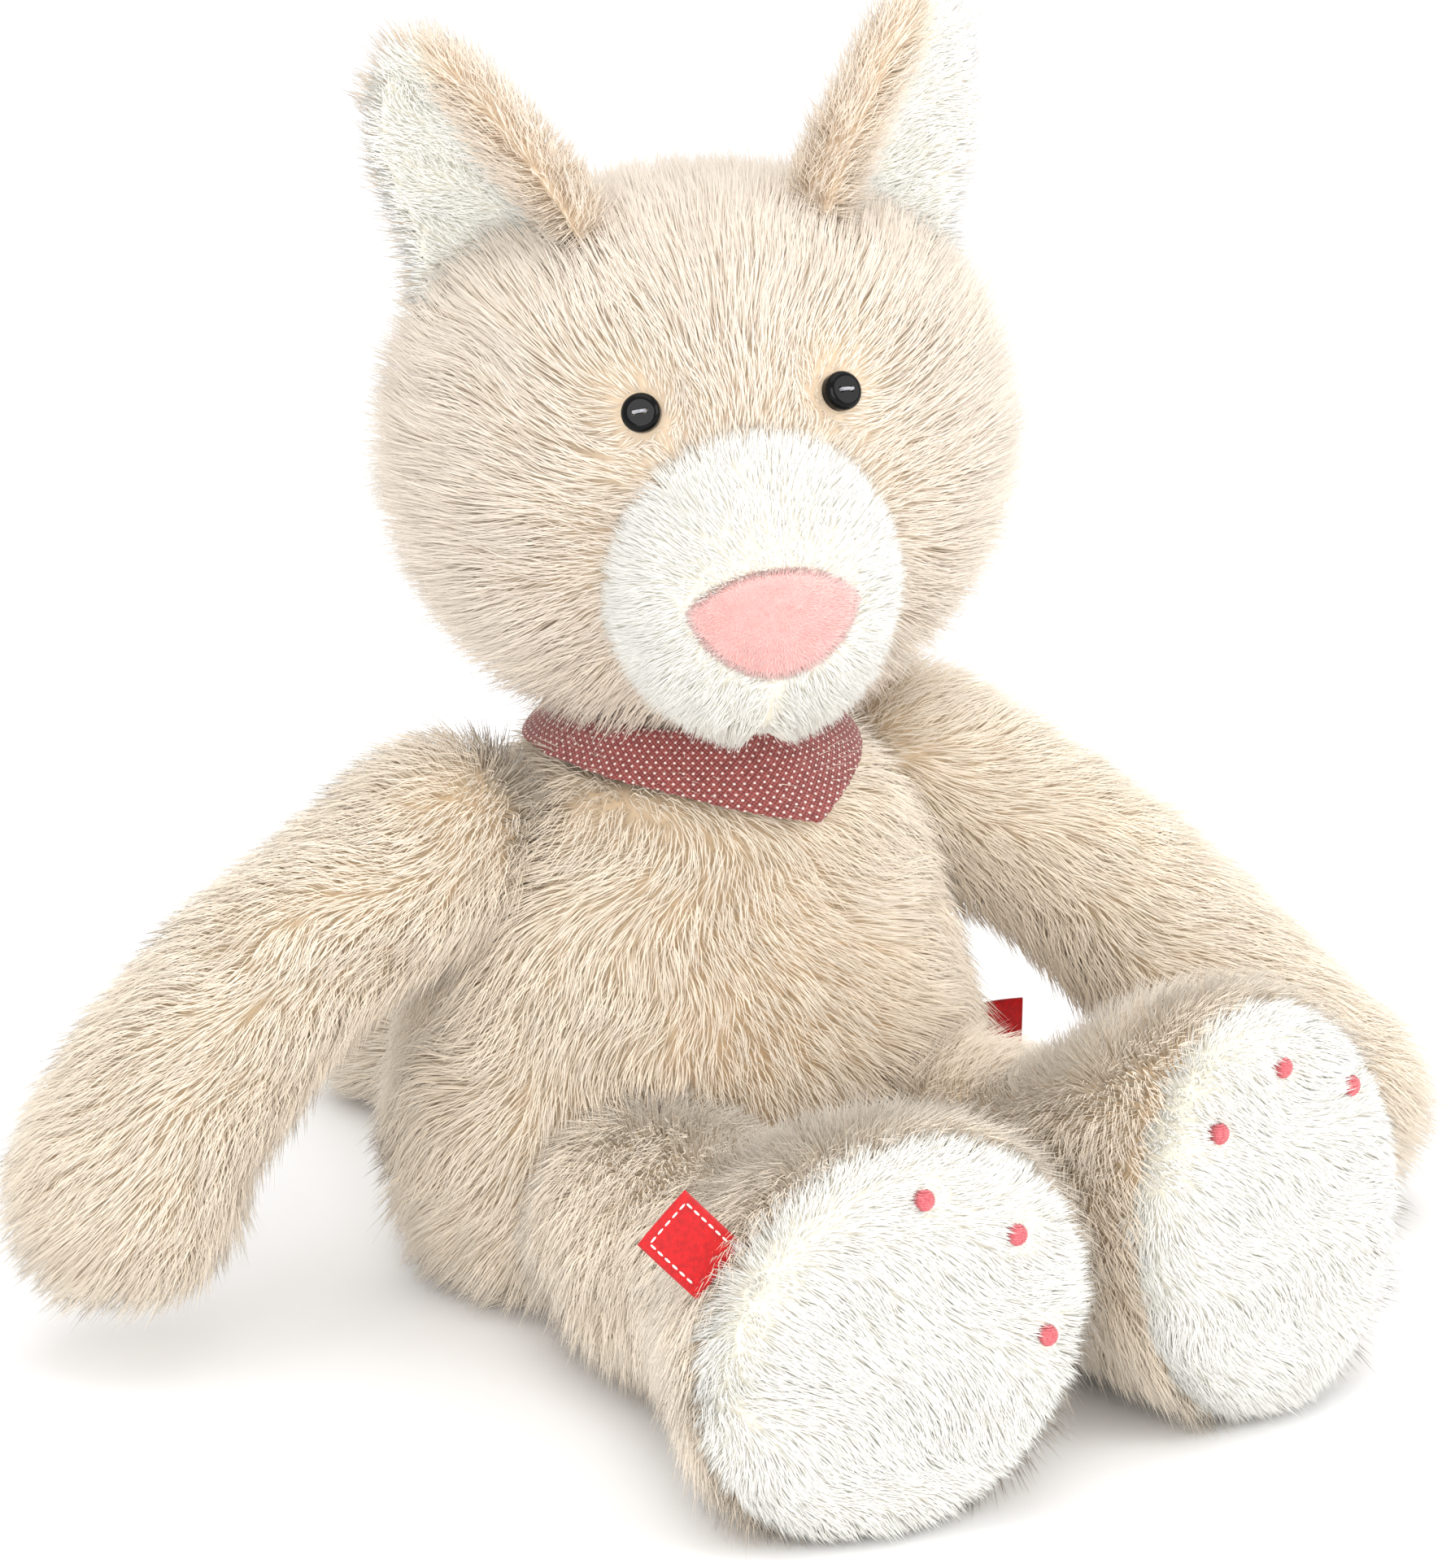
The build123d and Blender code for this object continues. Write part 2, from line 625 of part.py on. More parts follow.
for side_name, leg in legs.items():
    limb = leg_limb(leg["hip"], leg["sole"], leg["facing"], leg["roll"])
    foot_plane = limb.plane_at(limb.length)
    leg_outer = leg_solid(limb)
    leg_shell = shell_of(leg_outer, leg_solid(limb, SKIN))
    sole_seam = foot_plane.offset(-SOLE_PANEL_DEPTH)
    save(half_of(sole_seam, leg_shell), f"sole_{side_name}")
    upper = half_of(-sole_seam, leg_shell)
    lengthwise = Plane(origin=foot_plane.origin, z_dir=foot_plane.y_dir)
    outer_side, inner_side = (lengthwise, -lengthwise)
    if (foot_plane.y_dir.X > 0) != (side_name == "left"):
        outer_side, inner_side = inner_side, outer_side
    save(half_of(outer_side, upper.part), f"leg_outer_{side_name}")
    save(half_of(inner_side, upper.part), f"leg_inner_{side_name}")
    with BuildPart() as leg_stuffing:
        add(leg_solid(limb, SKIN + EASE))
    save(leg_stuffing, f"leg_stuffing_{side_name}")

    with BuildPart() as toe_stitches:
        with BuildSketch(foot_plane):
            for degrees in TOE_DOT_ANGLES:
                angle = math.radians(degrees)
                ahead, across = TOE_DOT_DISTANCE
                with Locations((ahead * math.cos(angle), across * math.sin(angle))):
                    Circle(TOE_DOT_RADIUS)
        extrude(amount=TOE_DOT_RAISE)
    save(toe_stitches, f"toe_stitches_{side_name}")

    if side_name == "right":
        angle = math.radians(FLAG_ANGLE)
        edge = 1 / math.hypot(math.cos(angle) / SOLE_LENGTH, math.sin(angle) / SOLE_WIDTH)
        reach, width, thick = FLAG_LABEL
        twist = math.radians(FLAG_TWIST)
        outer_way = foot_plane.y_dir if foot_plane.y_dir.X < 0 else -foot_plane.y_dir
        radial = foot_plane.x_dir * math.cos(angle) + outer_way * math.sin(angle)
        lean = foot_plane.x_dir * math.cos(angle - twist) + outer_way * math.sin(angle - twist)
        clear = edge + LABEL_GAP + width / 2 * math.sin(twist)
        flag_root = foot_plane.offset(-SOLE_PANEL_DEPTH).origin + radial * clear
        flag_plane = Plane(origin=flag_root, x_dir=lean, z_dir=foot_plane.z_dir)
        with BuildPart() as flag_label:
            with BuildSketch(flag_plane.offset(-thick / 2)):
                with Locations((reach / 2, 0)):
                    Rectangle(reach, width)
            extrude(amount=thick)
        save(flag_label, "flag_label")

# ---- tail -------------------------------------------------------------------------------------------

tail_root, tail_end = Vector(*TAIL_ROOT), Vector(*TAIL_END)
tail_start = Vector(0, 1, 0)
tail_out = (tail_end - tail_root).normalized()
with BuildLine() as tail_line:
    Line(tail_root - tail_start * TAIL_RADIUS, tail_root)
    Spline(tail_root, tail_end, tangents=(tail_start, tail_out))
    Line(tail_end, tail_end + tail_out * TAIL_TIP_RADIUS)
tail_limb = Limb(tail_line.wires()[0], Vector(1, 0, 0), TAIL_RADIUS, TAIL_TIP_RADIUS)


def tail_solid(inset):
    radii = ((0.0, TAIL_RADIUS), (0.5, 11.0), (1.0, TAIL_TIP_RADIUS))
    return tail_limb.solid(tail_limb.even_rings(radii, 8), inset)


tail_shell = shell_of(tail_solid(0), tail_solid(SKIN))
tail_seam = Plane(origin=TAIL_ROOT, z_dir=tail_out.cross(Vector(0, 0, 1)).normalized())
save(half_of(tail_seam, tail_shell), "tail_left_panel")
save(half_of(-tail_seam, tail_shell), "tail_right_panel")
with BuildPart() as tail_stuffing:
    add(tail_solid(SKIN + EASE))
save(tail_stuffing, "tail_stuffing")

# ---- scarf ------------------------------------------------------------------------------------------

scarf_top_radius, scarf_top = SCARF_TOP
point_x, point_z = SCARF_POINT


def scarf_radius(height):
    return scarf_top_radius + (scarf_top - height) * SCARF_SLOPE


with BuildPart() as cone:
    with BuildSketch(Plane.XZ):
        with BuildLine():
            Polyline(
                (scarf_radius(scarf_top), scarf_top),
                (scarf_radius(point_z), point_z),
                (scarf_radius(point_z) + SCARF_CLOTH, point_z),
                (scarf_radius(scarf_top) + SCARF_CLOTH, scarf_top),
                close=True,
            )
        make_face()
    revolve(axis=Axis.Z)

with BuildPart() as scarf_pattern:
    with BuildSketch(Plane.XY.offset(SCARF_BAND_LOW)):
        Circle(CUT / 2)
    extrude(amount=CUT / 4)
    with BuildSketch(Plane.XZ):
        with BuildLine():
            Polyline(
                (SCARF_RIGHT_END, SCARF_BAND_LOW),
                (point_x, point_z),
                (SCARF_LEFT_END, SCARF_BAND_LOW),
                close=True,
            )
        make_face()
    extrude(amount=CUT / 2)

with BuildPart() as scarf_cloth:
    add(cone.part)
    add(scarf_pattern.part, mode=Mode.INTERSECT)
save(scarf_cloth, "scarf_cloth")

knot_height = (scarf_top + SCARF_BAND_LOW) / 2
knot_back = scarf_radius(SCARF_BAND_LOW) + SCARF_CLOTH + KNOT_RADIUS
with BuildPart() as scarf_knot:
    with Locations((0, knot_back, knot_height)):
        Sphere(KNOT_RADIUS)
    for turn in (-KNOT_TAIL_SPREAD, KNOT_TAIL_SPREAD):
        with Locations(Location((0, knot_back, knot_height), (0, turn, 0))):
            Box(*KNOT_TAIL, align=(Align.CENTER, Align.CENTER, Align.MAX))
save(scarf_knot, "scarf_knot")
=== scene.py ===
"""Looks for the seated plush dog: pile grown on the CAD skins, cloth for the scarf, ribbon labels, glossy eyes.

Everything is in metres in the CAD frame: +Z up, the dog faces -Y, its left side is +X.
"""
import json
import math

import bmesh
import bpy
import numpy as np
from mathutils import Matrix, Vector
from mathutils.bvhtree import BVHTree
from mathutils.kdtree import KDTree


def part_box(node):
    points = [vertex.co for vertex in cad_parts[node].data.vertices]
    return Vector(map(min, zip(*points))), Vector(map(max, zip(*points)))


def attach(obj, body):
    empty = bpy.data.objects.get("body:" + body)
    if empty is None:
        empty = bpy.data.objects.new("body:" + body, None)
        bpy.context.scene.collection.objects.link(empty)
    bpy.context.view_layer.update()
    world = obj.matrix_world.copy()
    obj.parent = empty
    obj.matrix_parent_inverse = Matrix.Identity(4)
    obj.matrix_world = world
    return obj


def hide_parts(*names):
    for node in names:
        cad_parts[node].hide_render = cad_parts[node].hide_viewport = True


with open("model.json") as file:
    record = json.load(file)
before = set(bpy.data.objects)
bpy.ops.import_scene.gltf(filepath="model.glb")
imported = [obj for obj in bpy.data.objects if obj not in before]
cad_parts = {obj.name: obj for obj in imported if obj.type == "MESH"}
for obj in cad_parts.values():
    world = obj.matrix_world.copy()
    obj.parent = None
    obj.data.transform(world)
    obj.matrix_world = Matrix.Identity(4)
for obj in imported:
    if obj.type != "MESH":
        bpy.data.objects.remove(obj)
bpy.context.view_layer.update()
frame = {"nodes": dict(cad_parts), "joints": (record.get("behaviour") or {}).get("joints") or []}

MM = 0.001
SEED = 7
DENSITY = 1.0      # share of the pile that is grown


# ---- places read from the frame ---------------------------------------------------------------------

def corner_low(*nodes):
    return Vector([min(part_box(n)[0][i] for n in nodes) for i in range(3)])


def corner_high(*nodes):
    return Vector([max(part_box(n)[1][i] for n in nodes) for i in range(3)])


def centre(*nodes):
    return (corner_low(*nodes) + corner_high(*nodes)) / 2


def joint(name):
    return next(j for j in frame["joints"] if j["name"] == name)


def pivot(name):
    return Vector(joint(name)["pos_m"])


UP = Vector((0, 0, 1))
HEAD_LEFT = Vector(joint("neck_nod")["axis"]).normalized()
HEAD_AHEAD = HEAD_LEFT.cross(UP).normalized()
HEAD_MIDDLE = centre("head_left_panel", "head_right_panel", "head_gusset")
MUZZLE_MIDDLE = centre("muzzle_left_panel", "muzzle_right_panel")
EYES = {side: centre(f"eye_{side}") for side in ("left", "right")}
NOSE = centre("nose_panel")


# ---- numpy helpers ------------------------------------------------------------------------------------

def unit(vectors):
    return vectors / np.maximum(np.linalg.norm(vectors, axis=-1, keepdims=True), 1e-12)


def dot(a, b):
    return np.sum(a * b, axis=-1, keepdims=True)


def smoothstep(value, low, high):
    share = np.clip((value - low) / (high - low), 0, 1)
    return share * share * (3 - 2 * share)


def wander(points, wavelength, seed):
    """Smooth pseudo-random vectors, about -1 to 1, that change over a wavelength in metres."""
    rng = np.random.default_rng(seed)
    total = np.zeros_like(points)
    for _ in range(7):
        waves = rng.normal(size=(3, 3)) * (2 * math.pi / wavelength) / 1.7
        total += np.sin(points @ waves + rng.uniform(0, 2 * math.pi, 3))
    return total / 2.6


# ---- skins ----------------------------------------------------------------------------------------------

def fused_skin(nodes, voxel=1.9, rounds=8):
    """One closed outer surface round some CAD nodes, as arrays of points and quads."""
    joined = bmesh.new()
    for name in nodes:
        joined.from_mesh(frame["nodes"][name].data)
    mesh = bpy.data.meshes.new("fused")
    joined.to_mesh(mesh)
    joined.free()
    obj = bpy.data.objects.new("fused", mesh)
    bpy.context.scene.collection.objects.link(obj)
    remesh = obj.modifiers.new("remesh", "REMESH")
    remesh.mode = "VOXEL"
    remesh.voxel_size = voxel * MM
    smooth = obj.modifiers.new("smooth", "SMOOTH")
    smooth.iterations = rounds
    smooth.factor = 0.5
    done = bpy.data.meshes.new_from_object(obj.evaluated_get(bpy.context.evaluated_depsgraph_get()))
    bpy.data.objects.remove(obj)
    bpy.data.meshes.remove(mesh)
    clean = bmesh.new()
    clean.from_mesh(done)
    keep_largest_island(clean)
    clean.to_mesh(done)
    clean.free()
    return done


def keep_largest_island(mesh):
    """Inner surfaces of hollow parts go, the outer one stays."""
    mesh.faces.ensure_lookup_table()
    seen = set()
    islands = []
    for face in mesh.faces:
        if face.index in seen:
            continue
        island, stack = [], [face]
        seen.add(face.index)
        while stack:
            current = stack.pop()
            island.append(current)
            for edge in current.edges:
                for other in edge.link_faces:
                    if other.index not in seen:
                        seen.add(other.index)
                        stack.append(other)
        islands.append(island)
    islands.sort(key=len)
    extra = [face for island in islands[:-1] for face in island]
    bmesh.ops.delete(mesh, geom=extra, context="FACES")


def nearest_panel(mesh, panels):
    """For each face of a skin, the index of the CAD panel that it covers."""
    trees = []
    for name in panels:
        source = bmesh.new()
        source.from_mesh(frame["nodes"][name].data)
        trees.append(BVHTree.FromBMesh(source))
        source.free()
    owner = np.zeros(len(mesh.polygons), int)
    for polygon in mesh.polygons:
        gaps = [tree.find_nearest(polygon.center)[3] for tree in trees]
        owner[polygon.index] = int(np.argmin(gaps))
    return owner


class Skin:
    """A surface that pile grows on."""

    def __init__(self, mesh, reshape=None):
        count = len(mesh.vertices)
        points = np.zeros(count * 3)
        mesh.vertices.foreach_get("co", points)
        self.points = points.reshape(-1, 3)
        if reshape is not None:
            self.points = reshape(self.points)
            mesh.vertices.foreach_set("co", self.points.ravel())
            mesh.update()
        normals = np.zeros(count * 3)
        mesh.vertices.foreach_get("normal", normals)
        self.normals = unit(normals.reshape(-1, 3))
        self.faces = [tuple(p.vertices) for p in mesh.polygons]
        mesh.calc_loop_triangles()
        triangles = np.zeros(len(mesh.loop_triangles) * 3, int)
        mesh.loop_triangles.foreach_get("vertices", triangles)
        self.triangles = triangles.reshape(-1, 3)
        owners = np.zeros(len(mesh.loop_triangles), int)
        mesh.loop_triangles.foreach_get("polygon_index", owners)
        self.face_of_triangle = owners

    def scatter(self, faces, per_mm2, rng):
        """Random roots on some faces: places and normals."""
        chosen = self.triangles[np.isin(self.face_of_triangle, faces)]
        a, b, c = (self.points[chosen[:, i]] for i in range(3))
        areas = np.linalg.norm(np.cross(b - a, c - a), axis=1) / 2
        count = int(min(areas.sum() / MM ** 2 * per_mm2, MOST_TUFTS) * DENSITY)
        picks = np.searchsorted(np.cumsum(areas), (np.arange(count) + rng.random(count)) / count * areas.sum())
        picks = np.minimum(picks, len(chosen) - 1)
        u, v = rng.random(count), rng.random(count)
        flip = u + v > 1
        u[flip], v[flip] = 1 - u[flip], 1 - v[flip]
        w = 1 - u - v
        corners = chosen[picks]
        mix = [w[:, None], u[:, None], v[:, None]]
        places = sum(self.points[corners[:, i]] * mix[i] for i in range(3))
        normals = unit(sum(self.normals[corners[:, i]] * mix[i] for i in range(3)))
        return places, normals


# ---- pile ---------------------------------------------------------------------------------------------

MOST_TUFTS = 19000         # most tufts in one piece; in one piece, so that its exported mesh stays under 200,000 triangles
FLOOR_GAP = 0.4 * MM       # pile that would reach under the floor lies flat on it
SKIN_GAP = 2.2 * MM        # fabric that rests on the floor has the flattened pile under it
SIDES = 3
RING_PLACES = np.array([0.0, 0.55])
RING_WIDTHS = np.array([1.0, 0.8])


def tuft_curves(roots, normals, comb, pile, rng):
    """Root, bend and tip points of each tuft, gathered into locks."""
    count = len(roots)
    comb = comb - dot(comb, normals) * normals
    strength = np.minimum(np.linalg.norm(comb, axis=1, keepdims=True), 1)
    comb = unit(comb)
    across = np.cross(normals, comb)
    swing = wander(roots, pile.get("swirl_mm", 14) * MM, SEED)[:, :1] * pile.get("swirl", 0.35)
    swing = swing + rng.normal(size=(count, 1)) * pile.get("stray", 0.22)
    comb = comb * np.cos(swing) + across * np.sin(swing)
    lean = np.radians(pile["lean"]) * strength + rng.normal(size=(count, 1)) * pile.get("ruffle", 0.16)
    length = pile["length"] * MM * (1 + rng.normal(size=(count, 1)) * pile.get("uneven", 0.16))
    length = np.maximum(length, pile["length"] * MM * 0.35)
    if "length_map" in pile:
        length = length * pile["length_map"](roots)[:, None]
    bend = roots + length * 0.5 * (normals * np.cos(lean * 0.45) + comb * np.sin(lean * 0.45))
    tips = roots + length * (normals * np.cos(lean) + comb * np.sin(lean))
    tips = tips - UP_ROW * length * pile.get("droop", 0.05)
    lock = pile.get("lock_mm", 0)
    if lock:
        centres = rng.permutation(count)[:max(2, int(pile["area_mm2"] / lock ** 2))]
        tree = KDTree(len(centres))
        for place, index in enumerate(centres):
            tree.insert(roots[index] + (tips[index] - roots[index]) * 0.3, place)
        tree.balance()
        mine = np.array([tree.find(root)[1] for root in roots])
        leader = centres[mine]
        pull = pile.get("gather", 0.55) * (1 + rng.normal(size=(count, 1)) * 0.25)
        tips = tips + (tips[leader] - tips) * np.clip(pull, 0, 0.9)
        bend = bend + (bend[leader] - bend) * np.clip(pull, 0, 0.9) * 0.35
        shade = leader * 0.6180339 % 1.0
    else:
        shade = rng.random(count)
    return bend, tips, shade


UP_ROW = np.array([[0.0, 0.0, 1.0]])


def tuft_mesh_arrays(roots, bend, tips, normals, width, rng):
    """Closed three-sided blades along the curves: points, quads, triangles and their share along the tuft."""
    count = len(roots)
    start = roots - normals * 0.6 * MM
    side = unit(np.cross(tips - roots, normals) + rng.normal(size=(count, 3)) * 1e-4)
    rings, facings = [], []
    for place, ring_width in zip(RING_PLACES, RING_WIDTHS):
        middle = start * (1 - place) ** 2 + bend * 2 * place * (1 - place) + tips * place ** 2
        along = unit((bend - start) * (1 - place) + (tips - bend) * place)
        other = np.cross(along, side)
        half = width * 0.5 * ring_width
        for corner in range(SIDES):
            angle = 2 * math.pi * corner / SIDES + math.pi / 6
            facing = side * math.cos(angle) + other * math.sin(angle) * 0.7
            rings.append(middle + half * facing)
            facings.append(unit(facing))
    rings.append(tips)
    facings.append(along)
    points = np.stack(rings, axis=1).reshape(-1, 3)
    facings = np.stack(facings, axis=1).reshape(-1, 3)
    per_tuft = SIDES * len(RING_PLACES) + 1
    base = np.arange(count)[:, None] * per_tuft
    quads, quad_levels = [], []
    for level in range(len(RING_PLACES) - 1):
        for corner in range(SIDES):
            low, nxt = level * SIDES + corner, level * SIDES + (corner + 1) % SIDES
            quads.append(base + np.array([low, nxt, nxt + SIDES, low + SIDES]))
            quad_levels.append(level)
    last = (len(RING_PLACES) - 1) * SIDES
    triangles = []
    for corner in range(SIDES):
        triangles.append(base + np.array([last + corner, last + (corner + 1) % SIDES, per_tuft - 1]))
    triangles.append(base + np.array([2, 1, 0]))
    quads = np.stack(quads, axis=1).reshape(-1, 4)
    triangles = np.stack(triangles, axis=1).reshape(-1, 3)
    along = np.tile(np.append(np.repeat(RING_PLACES, SIDES), 1.0), count)
    return points, facings, quads, triangles, along, per_tuft


def pile_object(name, skin, faces, pile, comb, material):
    """Skin patch and its tufts as one piece, with a bake layout of one cell per face or tuft."""
    rng = np.random.default_rng(SEED + sum(map(ord, name)))
    roots, normals = skin.scatter(faces, pile["per_mm2"], rng)
    if "keep" in pile:
        keep = pile["keep"](roots)
        roots, normals = roots[keep], normals[keep]
    pile = dict(pile, area_mm2=len(roots) / max(pile["per_mm2"] * DENSITY, 1e-6))
    bend, tips, shade = tuft_curves(roots, normals, comb(roots, normals), pile, rng)
    lying = FLOOR_GAP + (SKIN_GAP - 2 * FLOOR_GAP) * rng.random(len(roots))
    bend[:, 2] = np.maximum(bend[:, 2], lying)
    tips[:, 2] = np.maximum(tips[:, 2], lying)
    width = pile["width"] * MM * (0.75 + 0.5 * rng.random((len(roots), 1)))
    points, facings, quads, triangles, along, per_tuft = tuft_mesh_arrays(roots, bend, tips, normals, width, rng)

    patch = [skin.faces[i] for i in faces]
    used = sorted(set(index for face in patch for index in face))
    renumber = {index: place for place, index in enumerate(used)}
    patch_points = skin.points[used]
    patch_points[:, 2] = np.maximum(patch_points[:, 2], SKIN_GAP)
    points[:, 2] = np.maximum(points[:, 2], FLOOR_GAP / 4)
    patch_corners = np.array([renumber[index] for face in patch for index in face])
    patch_sizes = np.array([len(face) for face in patch])
    offset = len(used)

    corners = np.concatenate([patch_corners, (quads + offset).ravel(), (triangles + offset).ravel()])
    sizes = np.concatenate([patch_sizes, np.full(len(quads), 4), np.full(len(triangles), 3)])
    starts = np.concatenate([[0], np.cumsum(sizes)[:-1]])
    everything = np.concatenate([patch_points, points])

    mesh = bpy.data.meshes.new(name)
    mesh.vertices.add(len(everything))
    mesh.vertices.foreach_set("co", everything.astype(np.float32).ravel())
    mesh.loops.add(len(corners))
    mesh.loops.foreach_set("vertex_index", corners.astype(np.int32))
    mesh.polygons.add(len(sizes))
    mesh.polygons.foreach_set("loop_start", starts.astype(np.int32))
    mesh.update(calc_edges=True)
    mesh.polygons.foreach_set("use_smooth", np.ones(len(sizes), bool))

    tuft_of_point = np.repeat(np.arange(len(roots)), per_tuft)
    store(mesh, "along", np.concatenate([np.zeros(offset), along]))
    store(mesh, "shade", np.concatenate([np.full(offset, 0.5), shade[tuft_of_point]]))

    cells = len(patch) + len(roots)
    columns = math.ceil(math.sqrt(cells))
    loop_faces = np.repeat(np.arange(len(sizes)), sizes)
    tuft_of_quad = np.repeat(np.arange(len(roots)), len(quads) // max(len(roots), 1))
    tuft_of_triangle = np.repeat(np.arange(len(roots)), len(triangles) // max(len(roots), 1))
    cell_of_face = np.concatenate([np.arange(len(patch)), tuft_of_quad + len(patch), tuft_of_triangle + len(patch)])
    cell = cell_of_face[loop_faces]
    place_in_face = np.arange(len(corners)) - starts[loop_faces]
    across = np.where(np.isin(place_in_face, (1, 2)), 0.8, 0.2)
    height = np.concatenate([np.zeros(offset), along])[corners]
    is_patch = loop_faces < len(patch)
    height = np.where(is_patch, np.where(place_in_face >= 2, 0.8, 0.2), 0.15 + 0.7 * height)
    layout = np.stack([(cell % columns + across) / columns, (cell // columns + height) / columns], axis=1)
    layer = mesh.uv_layers.new(name="OFBake")
    layer.data.foreach_set("uv", layout.astype(np.float32).ravel())

    root_normals = np.repeat(normals, per_tuft, axis=0)
    turn = pile.get("crisp", 0.22) + 0.30 * along[:, None]
    soft = unit(root_normals * (1 - turn) + facings * turn)
    mesh.normals_split_custom_set_from_vertices(np.concatenate([skin.normals[used], soft]).tolist())
    obj = bpy.data.objects.new(name, mesh)
    bpy.context.scene.collection.objects.link(obj)
    mesh.materials.append(material)
    print(f"{name}: {len(roots)} tufts, {len(mesh.polygons)} faces")
    return obj


def store(mesh, name, values):
    mesh.attributes.new(name, "FLOAT", "POINT").data.foreach_set("value", values.astype(np.float32))


# ---- materials ----------------------------------------------------------------------------------------

def linear(red, green, blue):
    """Screen colour to the linear colour that shaders take."""
    return tuple(c / 12.92 if c <= 0.04045 else ((c + 0.055) / 1.055) ** 2.4 for c in (red, green, blue)) + (1.0,)


class Nodes:
    """Short way to wire a material."""

    def __init__(self, name):
        self.material = bpy.data.materials.new(name)
        self.material.use_nodes = True
        self.tree = self.material.node_tree
        self.shader = self.tree.nodes["Principled BSDF"]

    def add(self, kind, **settings):
        node = self.tree.nodes.new("ShaderNode" + kind)
        for key, value in settings.items():
            setattr(node, key, value)
        return node

    def link(self, source, target):
        self.tree.links.new(source, target)

    def attribute(self, name):
        return self.add("Attribute", attribute_name=name)

    def math(self, operation, first, second=0.0):
        node = self.add("Math", operation=operation)
        for socket, value in zip(node.inputs, (first, second)):
            if isinstance(value, (int, float)):
                socket.default_value = value
            else:
                self.link(value, socket)
        return node.outputs[0]

    def ramp(self, source, *stops):
        node = self.add("ValToRGB")
        ramp = node.color_ramp
        ramp.elements[0].position, ramp.elements[0].color = stops[0]
        ramp.elements[1].position, ramp.elements[1].color = stops[-1]
        for position, colour in stops[1:-1]:
            ramp.elements.new(position).color = colour
        self.link(source, node.inputs[0])
        return node.outputs[0]

    def noise(self, scale_mm, detail=2.0):
        place = self.add("TexCoord")
        node = self.add("TexNoise")
        node.inputs["Scale"].default_value = 1 / (scale_mm * MM)
        node.inputs["Detail"].default_value = detail
        self.link(place.outputs["Object"], node.inputs["Vector"])
        return node.outputs["Fac"]

    def mix(self, share, first, second, blend="MIX"):
        node = self.add("Mix", data_type="RGBA", blend_type=blend)
        for socket, value in zip((node.inputs[0], node.inputs[6], node.inputs[7]), (share, first, second)):
            if isinstance(value, (int, float, tuple)):
                socket.default_value = value
            else:
                self.link(value, socket)
        return node.outputs[2]

    def bump(self, height, strength, distance_mm):
        node = self.add("Bump")
        node.inputs["Strength"].default_value = strength
        node.inputs["Distance"].default_value = distance_mm * MM
        self.link(height, node.inputs["Height"])
        self.link(node.outputs[0], self.shader.inputs["Normal"])

    def finish(self, roughness, sheen=0.0):
        self.shader.inputs["Roughness"].default_value = roughness
        self.shader.inputs["Sheen Weight"].default_value = sheen
        self.shader.inputs["Specular IOR Level"].default_value = 0.3
        return self.material


def pile_material(name, root, middle, tip, patchy, sheen=0.15):
    """Pile that is darker at the root, which is painted shade from deep between the tufts, with soft patches and a
    different tone for each lock.
    """
    n = Nodes(name)
    along = n.attribute("along").outputs["Fac"]
    # The darker root colour is painted shade: the shade deep in the pile, between the tufts, put into the colour.
    colour = n.ramp(along, (0.0, linear(*root)), (0.45, linear(*middle)), (1.0, linear(*tip)))
    patches = n.ramp(n.noise(22, 3.0), (0.38, (0, 0, 0, 1)), (0.72, (1, 1, 1, 1)))
    tinted = n.mix(n.math("MULTIPLY", patches, patchy), colour, linear(*middle))
    shade = n.attribute("shade").outputs["Fac"]
    grey = n.math("ADD", n.math("MULTIPLY", shade, 0.14), 0.90)
    value = n.add("CombineColor")
    for socket in value.inputs[:3]:
        n.link(grey, socket)
    final = n.mix(1.0, tinted, value.outputs[0], "MULTIPLY")
    n.link(final, n.shader.inputs["Base Color"])
    return n.finish(0.85, sheen)


# Each pile's first colour is its root, darkened as painted shade of the depths of the pile.
beige_plush = pile_material("beige_plush_pile", (0.90, 0.80, 0.665), (0.96, 0.895, 0.805), (0.99, 0.95, 0.895), 0.4)
face_plush = pile_material("face_plush_pile", (0.90, 0.81, 0.695), (0.95, 0.89, 0.815), (0.98, 0.935, 0.885), 0.3)
cream_plush = pile_material("cream_plush_pile", (0.985, 0.965, 0.90), (1.0, 0.99, 0.955), (1.0, 1.0, 0.985), 0.3)
pink_plush = pile_material("pink_plush_pile", (0.97, 0.72, 0.70), (0.99, 0.81, 0.79), (1.0, 0.87, 0.85), 0.3)


def plain_material(name, colour, dark, grain_mm, roughness, bump_mm, sheen=0.0, coat=0.0):
    """Moulded, spun or woven stuff with fine mottling and a matching relief."""
    n = Nodes(name)
    grain = n.noise(grain_mm, 4.0)
    n.link(n.ramp(grain, (0.3, linear(*dark)), (0.7, linear(*colour))), n.shader.inputs["Base Color"])
    n.bump(grain, 0.5, bump_mm)
    n.shader.inputs["Coat Weight"].default_value = coat
    n.shader.inputs["Coat Roughness"].default_value = 0.04
    return n.finish(roughness, sheen)


